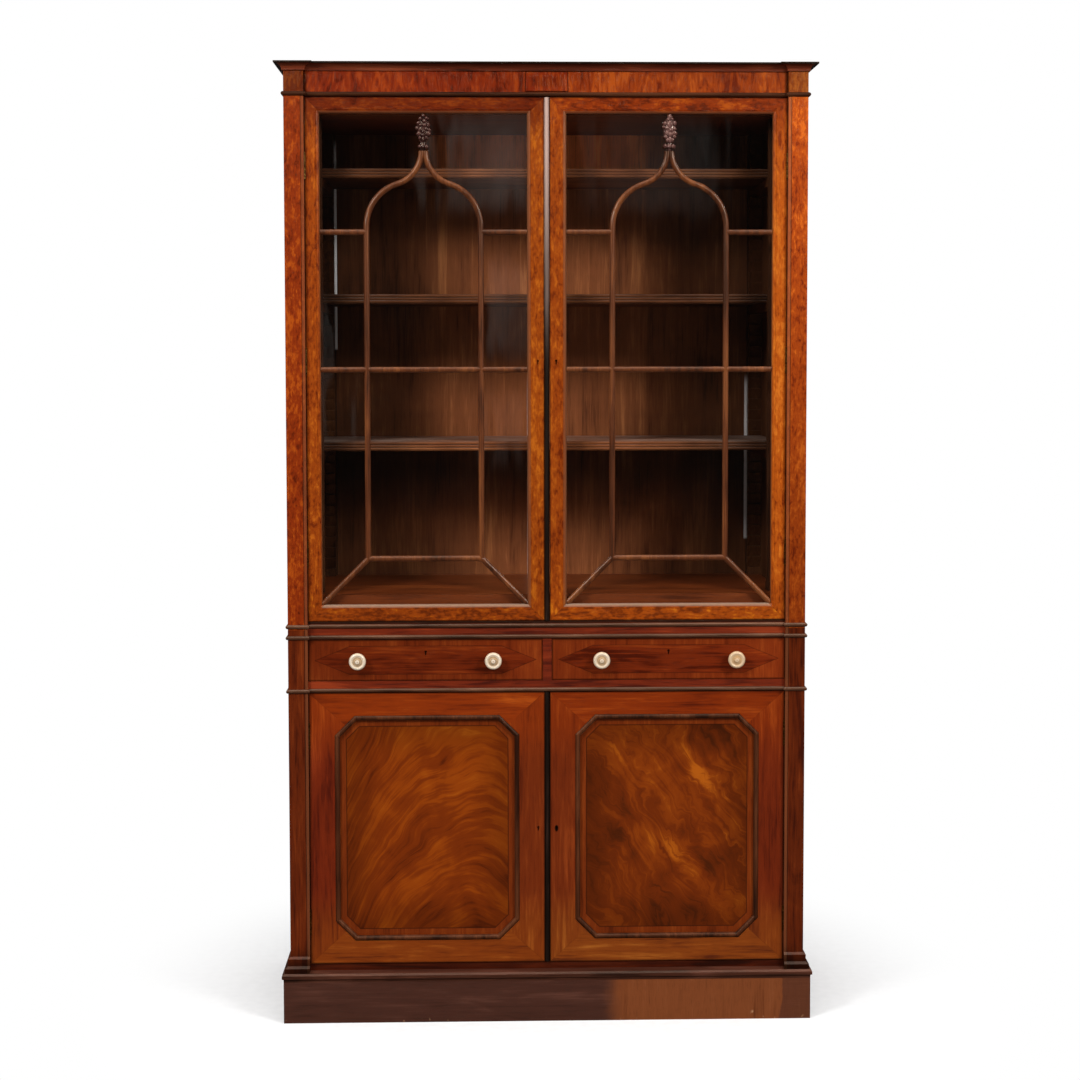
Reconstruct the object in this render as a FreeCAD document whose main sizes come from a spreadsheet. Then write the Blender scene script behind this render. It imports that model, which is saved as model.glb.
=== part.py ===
import FreeCAD, Part
import os
import Sketcher

# A mahogany library bookcase in two stages, in millimetres.
# X runs to the right, Y to the back and Z up. The origin lies on the floor in the middle of the outer box.
# The right-hand pieces and the left-hand ones mirror each other about the plane X = 0.

DRIVING_SIZES = {
    # Case as a whole
    "case_width": 1270,
    "body_depth": 460,
    "side_thick": 24,
    "back_thick": 12,
    "back_rebate": 12,
    "back_board_gap": 0.5,
    "back_side_width": 73,
    "back_middle_width": 75,
    "pilaster_width": 48,
    "pilaster_depth": 30,
    "pilaster_proud": 10,
    # Heights, from the floor up
    "plinth_high": 102,
    "plinth_cap_high": 21,
    "base_floor_thick": 17,
    "lower_opening_high": 677,
    "drawer_rail_high": 28,
    "drawer_opening_high": 103,
    "base_top_thick": 25,
    "upper_floor_thick": 19,
    "upper_opening_high": 1277,
    "frieze_high": 81,
    # Plinth and pilaster foot
    "plinth_thick": 28,
    "plinth_proud": 16,
    "cap_quirk": 5,
    "cap_lip": 4,
    "cap_nose": 8,
    "cap_ledge": 15,
    "cap_ledge_depth": 30,
    "low_foot_proud": 13,
    "low_foot_bevel": 5,
    "high_foot_proud": 6,
    "high_foot_bevel": 5,
    "high_foot_high": 22,
    "floor_setback": 3,
    # Applied mouldings
    "waist_bead_radius": 5,
    "lower_bead_rise": 1,
    "upper_bead_drop": 6,
    "frieze_bead_radius": 5.5,
    "cornice_reach": 22,
    "cornice_high": 20,
    "cornice_lip": 4,
    "cornice_foot": 4,
    "cornice_quirk": 2,
    "frieze_thick": 22,
    "tablet_width": 104,
    "tablet_proud": 3,
    "tablet_margin": 1,
    "tablet_bevel": 2,
    "top_board_thick": 12,
    "top_board_drop": 12,
    # Drawer space
    "drawer_rail_depth": 80,
    "dust_board_thick": 10,
    "runner_high": 6,
    "runner_width": 30,
    "divider_width": 22,
    "divider_depth": 40,
    "centre_guide_high": 25,
    # Cupboard
    "cupboard_shelf_thick": 20,
    "cupboard_shelf_setback": 45,
    "bearer_width": 20,
    "bearer_high": 20,
    "shelf_end_gap": 0.5,
    # Inside of the bookcase
    "door_back_gap": 2,
    "floor_rail_high": 41,
    "floor_rail_thick": 20,
    "raised_floor_thick": 22,
    "ceiling_drop": 19,
    "ceiling_thick": 22,
    "rack_width": 35,
    "rack_depth": 28,
    "rack_front_setback": 72,
    "tooth_depth": 10,
    "tooth_flat": 2,
    "first_tooth_rise": 21,
    "last_tooth_drop": 24,
    "cleat_high": 20,
    "cleat_gap": 0.3,
    "book_shelf_thick": 23,
    "reed_radius": 3.5,
    # Doors
    "door_thick": 25,
    "door_gap": 1.5,
    "meeting_half": 7,
    "meeting_bead_proud": 4,
    "meeting_quirk": 1.5,
    "outer_stile_width": 34.5,
    "meeting_stile_width": 41,
    "top_rail_high": 38,
    "bottom_rail_high": 40,
    "sticking_width": 9,
    "sticking_quirk": 1,
    "sticking_flat": 2,
    "glass_rebate_width": 8,
    "glass_setback": 12,
    "glass_thick": 3,
    "pane_gap": 0.5,
    # Glazing bars and finial
    "bar_radius": 7,
    "fin_width": 4,
    "fin_setback": 3,
    "bar_spread": 139,
    "spring_rise": 14,
    "lower_arc_radius": 108,
    "upper_arc_radius": 83,
    "apex_half": 5,
    "finial_high": 90,
    "finial_radius": 20.5,
    "finial_sink": 4,
    # Panelled doors
    "panel_stile_width": 62,
    "panel_rail_high": 56,
    "cant": 49,
    "panel_rebate": 8,
    "panel_setback": 7,
    "panel_thick": 10,
    "panel_moulding_width": 12,
    "panel_moulding_proud": 3,
    "panel_bevel": 4,
    # Hinges
    "knuckle_radius": 3,
    "knuckle_gap": 0.4,
    "hinge_pin_radius": 1.5,
    "pin_clearance": 0.05,
    "pin_forward": 2,
    "hinge_high": 64,
    "hinge_leaf_width": 17,
    "hinge_leaf_thick": 2,
    "hinge_leaf_gap": 0.3,
    "upper_hinge_inset": 165,
    "lower_hinge_inset": 105,
    # Drawers
    "drawer_gap": 0.8,
    "drawer_front_thick": 20,
    "drawer_side_thick": 10,
    "drawer_side_drop": 13,
    "drawer_back_gap": 26,
    "drawer_bottom_thick": 6,
    "drawer_bottom_rise": 6,
    "knob_radius": 21,
    "knob_reach": 29,
    "knob_spread": 166,
    "knob_peg_radius": 5,
    "knob_peg_length": 14,
    # Locks
    "lock_above_bar": 21,
    "drawer_key_drop": 31,
    "key_inset": 15.5,
    "key_radius": 3,
    "key_slot_width": 2.6,
    "key_slot_drop": 9,
    "dummy_key_depth": 6,
    "lock_case_long": 50,
    "lock_case_wide": 27,
    "lock_case_thick": 10,
    "drawer_lock_high": 45,
    "bolt_long": 20,
    "bolt_wide": 16,
    "bolt_thick": 5,
    "bolt_gap": 0.4,
    "bolt_setback": 0.3,
    "door_bolt_throw": 8,
    "drawer_bolt_throw": 6,
    "mortise_spare": 1,
}

# Counts and shares that set no length by themselves
SHELF_TEETH = (11, 24, 35)
TOOTH_COUNT = 40
UPPER_HINGE_SHARES = (0, 0.5, 1)
LOWER_HINGE_SHARES = (0, 1)
KNUCKLE_COUNT = 3
CASE_KNUCKLES = (0, 2)
DOOR_KNUCKLES = (1,)
CUPBOARD_SHELF_SHARE = 0.49
MIDDLE_BAR_SHARE = 0.581
REED_COUNT = 3
# Finial outline from its foot up: share of its height, share of its widest radius
FINIAL_SHARES = (
    (0.00, 0.26), (0.10, 0.34), (0.14, 0.62), (0.24, 0.66), (0.29, 0.42), (0.34, 0.60), (0.46, 0.98),
    (0.52, 0.66), (0.58, 0.94), (0.68, 1.00), (0.73, 0.62), (0.79, 0.72), (0.87, 0.66), (0.95, 0.36), (1.00, 0.12),
)
# Knob outline from the drawer front out: share of its reach, share of its radius
KNOB_FOOT_SHARES = ((0.00, 0.62), (0.10, 0.62), (0.18, 0.36), (0.42, 0.34))
KNOB_FACE_SHARES = ((0.86, 0.62), (0.86, 0.34), (0.96, 0.30), (1.00, 0.12))
# Where along its reach the knob is widest, and where its rounded rim ends
KNOB_WIDEST_SHARE = 0.72
KNOB_RIM_END_SHARE = 0.90
# Length of a 45 degree bar for each unit that it runs across
DIAGONAL_SHARE = 2 ** 0.5
# What a 45 degree cant loses for each unit that its octagon shrinks all round
CANT_INSET_SHARE = 2 - 2 ** 0.5
# How near an edge must lie to a face to count as on it, for each unit of the edge
EDGE_TOLERANCE_SHARE = 0.001

document = FreeCAD.newDocument("library_bookcase")
sheet = document.addObject("Spreadsheet::Sheet", "Sizes")
for row, (alias, number) in enumerate(DRIVING_SIZES.items(), start=1):
    sheet.set(f"A{row}", alias)
    sheet.set(f"B{row}", str(number))
    sheet.setAlias(f"B{row}", alias)
document.recompute()


class Length:
    """A length worked out from the sheet's cells: its expression and its present value."""

    def __init__(self, text, value):
        self.text = text
        self.value = value

    def __add__(self, other):
        other = as_length(other)
        return Length(f"({self.text} + {other.text})", self.value + other.value)

    def __sub__(self, other):
        other = as_length(other)
        return Length(f"({self.text} - {other.text})", self.value - other.value)

    def __neg__(self):
        return Length(f"(0 - {self.text})", -self.value)

    def __mul__(self, share):
        return Length(f"({self.text} * {share!r})", self.value * share)

    def __truediv__(self, other):
        if isinstance(other, Length):
            return Length(f"({self.text} / {other.text})", self.value / other.value)
        return Length(f"({self.text} / {other!r})", self.value / other)

    __rmul__ = __mul__


def as_length(thing):
    return thing if isinstance(thing, Length) else Length(repr(thing), thing)


class SheetSizes:
    """Reads a cell of the sheet by its alias."""

    def __getattr__(self, alias):
        return Length(f"Sizes.{alias}", float(getattr(sheet, alias)))


dim = SheetSizes()
subparts = {}


# Shapes bound to the sheet

def bind(feature, path, length):
    feature.setExpression(path, as_length(length).text)


def place(feature, x=0, y=0, z=0):
    """Binds where a feature stands."""
    bind(feature, "Placement.Base.x", x)
    bind(feature, "Placement.Base.y", y)
    bind(feature, "Placement.Base.z", z)
    return feature


def span(side, near, far):
    """Places near and far from the middle plane, in rising order, on the side -1 or +1."""
    if side > 0:
        return near, far
    return -as_length(far), -as_length(near)


def box(name, x, y, z):
    """A block between two places along each axis."""
    block = document.addObject("Part::Box", name)
    bind(block, "Length", as_length(x[1]) - x[0])
    bind(block, "Width", as_length(y[1]) - y[0])
    bind(block, "Height", as_length(z[1]) - z[0])
    return place(block, x[0], y[0], z[0])


TURNED_TO = {
    "X": FreeCAD.Rotation(FreeCAD.Vector(0, 1, 0), 90),
    "Y": FreeCAD.Rotation(FreeCAD.Vector(1, 0, 0), -90),
    "Z": FreeCAD.Rotation(),
}


def cylinder(name, axis, foot, radius, length):
    """A round bar that starts at foot and runs along an axis."""
    bar = document.addObject("Part::Cylinder", name)
    bar.Placement = FreeCAD.Placement(FreeCAD.Vector(), TURNED_TO[axis])
    bind(bar, "Radius", radius)
    bind(bar, "Height", length)
    return place(bar, *foot)


def fuse(name, *solids):
    joined = document.addObject("Part::MultiFuse", name)
    joined.Shapes = list(solids)
    return joined


def cut(name, solid, *tools):
    remains = document.addObject("Part::Cut", name)
    remains.Base = solid
    remains.Tool = tools[0] if len(tools) == 1 else fuse(name + "_tools", *tools)
    return remains


def common(name, solid, other):
    shared = document.addObject("Part::Common", name)
    shared.Base = solid
    shared.Tool = other
    return shared


def node(name, *solids):
    """Names one sub-part; several like solids stay separate in one group."""
    if len(solids) == 1:
        subpart = solids[0]
    else:
        subpart = document.addObject("Part::Compound", name + "_group")
        subpart.Links = list(solids)
    subpart.Label = name
    subparts[name] = subpart
    return subpart


def origin_plane(body, role):
    return next(plane for plane in body.Origin.OriginFeatures if plane.Role == role)


def edge_between(here, there):
    """The line or arc from one outline point to the next, with its start and end point numbers."""
    start = FreeCAD.Vector(as_length(here[0]).value, as_length(here[1]).value, 0)
    end = FreeCAD.Vector(as_length(there[0]).value, as_length(there[1]).value, 0)
    if len(here) == 2:
        return Part.LineSegment(start, end), (1, 2)
    centre = FreeCAD.Vector(as_length(here[2]).value, as_length(here[3]).value, 0)
    circle = Part.Circle(centre, FreeCAD.Vector(0, 0, 1), (start - centre).Length)
    first, last = circle.parameter(start), circle.parameter(end)
    if here[4] == "ccw":
        return Part.ArcOfCircle(circle, first, last), (1, 2)
    return Part.ArcOfCircle(circle, last, first), (2, 1)


def tied_point(name, edge, point, x, y):
    """Constraints that tie a point of the sketch to its places, with the lengths that drive them."""
    tied = []
    for kind, letter, place_there in (("DistanceX", "x", x), ("DistanceY", "y", y)):
        if place_there is None:
            continue
        place_there = as_length(place_there)
        constraint = Sketcher.Constraint(kind, -1, 1, edge, point, place_there.value)
        constraint.Name = f"{name}_{letter}"
        tied.append((constraint, place_there))
    return tied


def outline_sketch(body, name, role, outline, offset, closed=True):
    """A sketch of lines and arcs whose points are all tied to the sheet.

    An outline point is (x, y) before a line, or (x, y, centre x, centre y, "ccw" or "cw") before an arc.
    """
    sketch = body.newObject("Sketcher::SketchObject", name)
    sketch.AttachmentSupport = [(origin_plane(body, role), "")]
    sketch.MapMode = "FlatFace"
    bind(sketch, "AttachmentOffset.Base.z", offset)
    edge_count = len(outline) if closed else len(outline) - 1
    edges, ends = [], []
    for index in range(edge_count):
        edge, edge_ends = edge_between(outline[index], outline[(index + 1) % len(outline)])
        edges.append(edge)
        ends.append(edge_ends)
    joints = []
    for index in range(edge_count if closed else edge_count - 1):
        following = (index + 1) % edge_count
        joints.append(Sketcher.Constraint("Coincident", index, ends[index][1], following, ends[following][0]))
    tied = []
    for index in range(edge_count):
        here = outline[index]
        tied += tied_point(f"point{index}", index, ends[index][0], here[0], here[1])
        if len(here) > 2:
            there = outline[(index + 1) % len(outline)]
            run = abs((as_length(there[0]) - here[0]).value)
            rise = abs((as_length(there[1]) - here[1]).value)
            if rise >= run:
                tied += tied_point(f"centre{index}", index, 3, here[2], None)
            else:
                tied += tied_point(f"centre{index}", index, 3, None, here[3])
    if not closed:
        last = outline[-1]
        tied += tied_point("last", edge_count - 1, ends[-1][1], last[0], last[1])
    sketch.addGeometry(edges, False)
    sketch.addConstraint(joints + [constraint for constraint, length in tied])
    for constraint, length in tied:
        bind(sketch, f"Constraints.{constraint.Name}", length)
    return sketch


def prism(name, role, outline, start, end):
    """An outline in one of the main planes, padded from start to end along that plane's axis."""
    body = document.addObject("PartDesign::Body", name + "_body")
    start, end = as_length(start), as_length(end)
    offset = -end if role == "XZ_Plane" else start
    sketch = outline_sketch(body, name + "_outline", role, outline, offset)
    pad = body.newObject("PartDesign::Pad", name + "_pad")
    pad.Profile = sketch
    bind(pad, "Length", end - start)
    return body


def turned(name, role, outline, angle=None):
    """An outline turned about its vertical axis, all round or by the expression for an angle, half to each side."""
    body = document.addObject("PartDesign::Body", name + "_body")
    sketch = outline_sketch(body, name + "_outline", role, outline, 0)
    turn = body.newObject("PartDesign::Revolution", name + "_turn")
    turn.Profile = sketch
    turn.ReferenceAxis = (sketch, ["V_Axis"])
    if angle is not None:
        turn.Midplane = True
        turn.setExpression("Angle", angle)
    return body


def swept(name, path_role, path, path_offset, closed, profile_role, profile, profile_offset):
    """A profile carried along a path with mitred corners."""
    body = document.addObject("PartDesign::Body", name + "_body")
    spine = outline_sketch(body, name + "_path", path_role, path, path_offset, closed)
    section = outline_sketch(body, name + "_profile", profile_role, profile, profile_offset)
    run = body.newObject("PartDesign::AdditivePipe", name + "_run")
    run.Profile = section
    run.Spine = spine
    run.Transition = "Right corner"
    return body


# Planes and levels of the case

half_case = dim.case_width / 2
back_y = (dim.body_depth + dim.pilaster_proud + dim.cornice_reach) / 2
backing_y = back_y - dim.back_thick
face_y = back_y - dim.body_depth
pilaster_y = face_y - dim.pilaster_proud
side_front_y = pilaster_y + dim.pilaster_depth
pilaster_in = half_case - dim.pilaster_width
side_in = half_case - dim.side_thick
rebate_x = side_in + dim.back_rebate

plinth_top = dim.plinth_high
cap_top = plinth_top + dim.plinth_cap_high
base_floor_top = cap_top + dim.base_floor_thick
foot_top = base_floor_top + dim.high_foot_high
lower_head = base_floor_top + dim.lower_opening_high
drawer_floor = lower_head + dim.drawer_rail_high
drawer_head = drawer_floor + dim.drawer_opening_high
base_top = drawer_head + dim.base_top_thick
upper_foot = base_top + dim.upper_floor_thick
upper_head = upper_foot + dim.upper_opening_high
crown = upper_head + dim.frieze_high
case_top = crown - dim.cornice_lip
top_board_z = case_top - dim.top_board_drop

door_back_y = face_y + dim.door_thick
inner_front_y = door_back_y + dim.door_back_gap
door_out = pilaster_in - dim.door_gap
pin_x = pilaster_in - dim.door_gap / 2
pin_y = face_y - dim.pin_forward
glass_y = face_y + dim.glass_setback

upper_door_z = (upper_foot + dim.door_gap, upper_head - dim.door_gap)
lower_door_z = (base_floor_top + dim.door_gap, lower_head - dim.door_gap)
lower_lock_z = base_floor_top + dim.lower_opening_high / 2
upper_hinge_ends = (upper_door_z[0] + dim.upper_hinge_inset, upper_door_z[1] - dim.upper_hinge_inset)
lower_hinge_ends = (lower_door_z[0] + dim.lower_hinge_inset, lower_door_z[1] - dim.lower_hinge_inset)


def hinge_places(ends, shares):
    return [ends[0] + (ends[1] - ends[0]) * share for share in shares]


upper_hinges = hinge_places(upper_hinge_ends, UPPER_HINGE_SHARES)
lower_hinges = hinge_places(lower_hinge_ends, LOWER_HINGE_SHARES)


# Mouldings that run round three sides of the case and break forward at the pilasters

def case_path():
    """The case's outline in plan, from its back left corner to its back right one."""
    return [
        (-half_case, back_y),
        (-half_case, pilaster_y),
        (-pilaster_in, pilaster_y),
        (-pilaster_in, face_y),
        (pilaster_in, face_y),
        (pilaster_in, pilaster_y),
        (half_case, pilaster_y),
        (half_case, back_y),
    ]


def straight_path():
    """The plinth's line in plan, which doesn't break back between the pilasters."""
    return [(-half_case, back_y), (-half_case, pilaster_y), (half_case, pilaster_y), (half_case, back_y)]


def round_case(name, profile, path):
    """Carries a profile round the case; the profile's first number is how far it stands out."""
    drawn = []
    for point in profile:
        placed = [-half_case - point[0], as_length(point[1])]
        if len(point) > 2:
            placed += [-half_case - point[2], point[3], point[4]]
        drawn.append(tuple(placed))
    return swept(name, "XY_Plane", path, 0, False, "XZ_Plane", drawn, -back_y)


def waist_bead(name, level, radius):
    """A half-round bead, drawn as two quarter rounds."""
    middle = level + radius
    profile = [
        (0, level + radius * 2),
        (0, level, 0, middle, "cw"),
        (radius, middle, 0, middle, "cw"),
    ]
    return round_case(name, profile, case_path())


# Plinth

def make_plinth():
    inward = dim.plinth_proud - dim.plinth_thick
    outward = dim.plinth_proud
    section = [(inward, 0), (outward, 0), (outward, plinth_top), (inward, plinth_top)]
    front_and_sides = round_case("plinth_front_and_sides", section, straight_path())
    inside_x = half_case + inward
    back = box("plinth_back", (-inside_x, inside_x), (back_y - dim.plinth_thick, back_y), (0, plinth_top))
    node("plinth_boards", front_and_sides, back)
    lip = outward + dim.cap_lip
    quirk_z = plinth_top + dim.cap_quirk
    lip_z = quirk_z + dim.cap_lip
    section = [
        (0, plinth_top),
        (outward, plinth_top),
        (outward, quirk_z, lip, quirk_z, "ccw"),
        (lip, lip_z),
        (lip, lip_z + dim.cap_nose),
        (dim.cap_ledge, cap_top),
        (0, cap_top),
    ]
    cap = round_case("plinth_cap", section, straight_path())
    ledge = box(
        "plinth_ledge", (-pilaster_in, pilaster_in),
        (pilaster_y, pilaster_y + dim.cap_ledge_depth), (plinth_top, cap_top),
    )
    node("plinth_moulding", fuse("plinth_cap_and_ledge", cap, ledge))


# Base case

def notched_board(name, front_y, z):
    """A full-depth board whose front part fits between the pilasters."""
    outline = [
        (-side_in, backing_y),
        (-side_in, side_front_y),
        (-pilaster_in, side_front_y),
        (-pilaster_in, front_y),
        (pilaster_in, front_y),
        (pilaster_in, side_front_y),
        (side_in, side_front_y),
        (side_in, backing_y),
    ]
    return prism(name, "XY_Plane", outline, z[0], z[1])


def side_panel(name, side, z):
    """An end of the case, rebated for the back boards."""
    outline = [
        (side_in * side, side_front_y),
        (half_case * side, side_front_y),
        (half_case * side, back_y),
        (rebate_x * side, back_y),
        (rebate_x * side, backing_y),
        (side_in * side, backing_y),
    ]
    return prism(name, "XY_Plane", outline, z[0], z[1])


def back_boards(name, z):
    """Upright boards that fill the rebates: narrow at the sides and in the middle, wide between."""
    middle_x = dim.back_middle_width / 2
    side_x = rebate_x - dim.back_side_width
    edges = [-rebate_x, -side_x, -middle_x, middle_x, side_x, rebate_x]
    boards = []
    for number, right in enumerate(edges[1:]):
        left = edges[number]
        if number:
            left = left + dim.back_board_gap
        boards.append(box(f"{name}_{number}", (left, right), (backing_y, back_y), z))
    node(name, *boards)


def hinge_recesses(name, side, centres):
    """What the hinges take out of the pilaster: leaf beds and room for the knuckles."""
    tools = []
    leaf_x = (pin_x + dim.hinge_leaf_gap / 2, pin_x + dim.hinge_leaf_gap / 2 + dim.hinge_leaf_thick)
    leaf_end_y = pin_y + dim.knuckle_radius + dim.knuckle_gap + dim.hinge_leaf_width
    for number, centre in enumerate(centres):
        z = (centre - dim.hinge_high / 2, centre + dim.hinge_high / 2)
        bed = box(f"{name}_bed_{number}", span(side, pin_x, leaf_x[1]), (pin_y, leaf_end_y), z)
        room = cylinder(
            f"{name}_room_{number}", "Z", (pin_x * side, pin_y, z[0]),
            dim.knuckle_radius + dim.knuckle_gap, dim.hinge_high,
        )
        tools += [bed, room]
    return tools


def make_base_case():
    panels = []
    pilasters = []
    for side in (-1, 1):
        hand = "left" if side < 0 else "right"
        panels.append(side_panel(f"base_{hand}_panel", side, (plinth_top, base_top)))
        shaft = box(
            f"base_{hand}_shaft", span(side, pilaster_in, half_case),
            (pilaster_y, side_front_y), (foot_top, base_top),
        )
        recessed = cut(
            f"base_{hand}_pilaster", shaft,
            *hinge_recesses(f"base_{hand}_hinge", side, lower_hinges),
        )
        pilasters += [recessed, *pilaster_foot(hand, side)]
    node("base_side_panels", *panels)
    node("base_pilasters", *pilasters)
    node(
        "base_boards",
        notched_board("base_floor", face_y + dim.floor_setback, (cap_top, base_floor_top)),
        drawer_head_board(),
    )
    back_boards("base_back_boards", (plinth_top, base_top))


def foot_step(name, side, proud, next_proud, z):
    """One step of a foot, upright between its first two levels and bevelled up to the third."""
    edges = span(side, pilaster_in, half_case + proud)
    step_y = pilaster_y - proud
    upright = box(f"{name}_upright", edges, (step_y, side_front_y), z[:2])
    front_outline = [
        (pilaster_in * side, z[1]),
        ((half_case + proud) * side, z[1]),
        ((half_case + next_proud) * side, z[2]),
        (pilaster_in * side, z[2]),
    ]
    across = prism(f"{name}_across", "XZ_Plane", front_outline, step_y, side_front_y)
    side_outline = [
        (step_y, z[1]),
        (side_front_y, z[1]),
        (side_front_y, z[2]),
        (pilaster_y - next_proud, z[2]),
    ]
    along = prism(f"{name}_along", "YZ_Plane", side_outline, edges[0], edges[1])
    return [upright, common(f"{name}_bevel", across, along)]


def pilaster_foot(hand, side):
    """The two blocks under a pilaster, stepping out to the plinth moulding."""
    root = box(
        f"{hand}_foot_root", span(side, pilaster_in, half_case),
        (pilaster_y, side_front_y), (plinth_top, cap_top),
    )
    low_levels = (cap_top, base_floor_top - dim.low_foot_bevel, base_floor_top)
    high_levels = (base_floor_top, foot_top - dim.high_foot_bevel, foot_top)
    low = foot_step(f"{hand}_low_foot", side, dim.low_foot_proud, dim.high_foot_proud, low_levels)
    high = foot_step(f"{hand}_high_foot", side, dim.high_foot_proud, as_length(0), high_levels)
    return [fuse(f"{hand}_low_block", root, *low), fuse(f"{hand}_high_block", *high)]


def drawer_head_board():
    """The top of the base, with the mortises that the drawer bolts lock into."""
    board = notched_board("base_head", face_y, (drawer_head, base_top))
    mortises = []
    for side in (-1, 1):
        centre = drawer_centre * side
        reach = dim.bolt_wide / 2 + dim.bolt_gap
        mortises.append(box(
            f"drawer_mortise_{side + 1}", (centre - reach, centre + reach),
            (drawer_bolt_y[0] - dim.bolt_gap, drawer_bolt_y[1] + dim.bolt_gap),
            (drawer_head, drawer_head + dim.drawer_bolt_throw + dim.mortise_spare),
        ))
    return cut("base_head_board", board, *mortises)


# Drawer space

drawer_near = dim.divider_width / 2 + dim.drawer_gap
drawer_far = pilaster_in - dim.drawer_gap
drawer_centre = (drawer_near + drawer_far) / 2
drawer_z = (drawer_floor + dim.drawer_gap, drawer_head - dim.drawer_gap)
drawer_back_of_front = face_y + dim.drawer_front_thick
drawer_lock_y = (drawer_back_of_front - dim.lock_case_thick, drawer_back_of_front)
drawer_bolt_middle = (drawer_lock_y[0] + drawer_lock_y[1]) / 2
drawer_bolt_y = (drawer_bolt_middle - dim.bolt_thick / 2, drawer_bolt_middle + dim.bolt_thick / 2)


def make_drawer_space():
    rail = box(
        "drawer_rail", (-pilaster_in, pilaster_in), (face_y, face_y + dim.drawer_rail_depth),
        (lower_head, drawer_floor),
    )
    dust_top = drawer_floor - dim.runner_high
    dust_y = (face_y + dim.drawer_rail_depth, backing_y)
    dust = box("dust_board", (-pilaster_in, pilaster_in), dust_y, (dust_top - dim.dust_board_thick, dust_top))
    half_divider = dim.divider_width / 2
    divider = box(
        "drawer_divider", (-half_divider, half_divider), (face_y, face_y + dim.divider_depth),
        (drawer_floor, drawer_head),
    )
    node("drawer_frame", rail, dust, divider)
    guides = [
        box("centre_guide", (-half_divider, half_divider), dust_y, (dust_top, drawer_floor + dim.centre_guide_high)),
    ]
    for side in (-1, 1):
        hand = "left" if side < 0 else "right"
        guides.append(box(
            f"{hand}_guide", span(side, pilaster_in, side_in), (side_front_y, backing_y),
            (lower_head, drawer_head),
        ))
        outer = span(side, pilaster_in - dim.runner_width, pilaster_in)
        inner = span(side, half_divider, half_divider + dim.runner_width)
        guides.append(box(f"{hand}_outer_runner", outer, dust_y, (dust_top, drawer_floor)))
        guides.append(box(f"{hand}_inner_runner", inner, dust_y, (dust_top, drawer_floor)))
    node("drawer_guides", *guides)


# Cupboard

def make_cupboard():
    shelf_z = base_floor_top + dim.lower_opening_high * CUPBOARD_SHELF_SHARE
    front = inner_front_y + dim.cupboard_shelf_setback
    reach = side_in - dim.shelf_end_gap
    node("cupboard_shelf", box(
        "cupboard_shelf_board", (-reach, reach), (front, backing_y),
        (shelf_z, shelf_z + dim.cupboard_shelf_thick),
    ))
    bearers = []
    for side in (-1, 1):
        bearers.append(box(
            f"bearer_{side + 1}", span(side, side_in - dim.bearer_width, side_in), (front, backing_y),
            (shelf_z - dim.bearer_high, shelf_z),
        ))
    node("shelf_bearers", *bearers)


# Applied beads, cornice and frieze

def make_mouldings():
    node("drawer_rail_bead", waist_bead("rail_bead", lower_head, dim.waist_bead_radius))
    lower_level = drawer_head + dim.lower_bead_rise
    upper_level = upper_foot - dim.upper_bead_drop - dim.waist_bead_radius * 2
    node(
        "waist_beads",
        waist_bead("lower_waist_bead", lower_level, dim.waist_bead_radius),
        waist_bead("upper_waist_bead", upper_level, dim.waist_bead_radius),
    )
    node("frieze_bead", waist_bead("under_frieze_bead", upper_head, dim.frieze_bead_radius))
    foot_z = crown - dim.cornice_high
    quirk_z = foot_z + dim.cornice_quirk
    lip_z = crown - dim.cornice_lip
    near = dim.cornice_foot
    far = dim.cornice_reach - dim.cornice_foot
    cornice = [
        (0, foot_z),
        (near, foot_z),
        (near, quirk_z, far, quirk_z, "ccw"),
        (far, lip_z),
        (dim.cornice_reach, lip_z),
        (dim.cornice_reach, crown),
        (0, crown),
    ]
    node("cornice", round_case("cornice_moulding", cornice, case_path()))
    node("frieze_rail", box(
        "frieze_board", (-pilaster_in, pilaster_in), (face_y, face_y + dim.frieze_thick), (upper_head, case_top),
    ))
    low = upper_head + dim.frieze_bead_radius * 2 + dim.tablet_margin
    high = foot_z - dim.tablet_margin
    half = dim.tablet_width / 2
    outline = [(-half, low), (half, low), (half, high), (-half, high)]
    tablet = prism("tablet", "XZ_Plane", outline, face_y - dim.tablet_proud, face_y)
    plain = tablet.Tip
    document.recompute()
    front_edges = []
    for number, edge in enumerate(plain.Shape.Edges, start=1):
        reach = edge.Length * EDGE_TOLERANCE_SHARE
        if all(abs(corner.Point.y - plain.Shape.BoundBox.YMin) < reach for corner in edge.Vertexes):
            front_edges.append(f"Edge{number}")
    bevel = tablet.newObject("PartDesign::Chamfer", "tablet_edge")
    bevel.Base = (plain, front_edges)
    bind(bevel, "Size", dim.tablet_bevel)
    node("frieze_tablet", tablet)


# Bookcase carcass

lining_in = pilaster_in
raised_floor_z = upper_foot + dim.floor_rail_high
raised_floor_top = raised_floor_z + dim.raised_floor_thick
ceiling_top = upper_head - dim.ceiling_drop
ceiling_z = ceiling_top - dim.ceiling_thick


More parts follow.
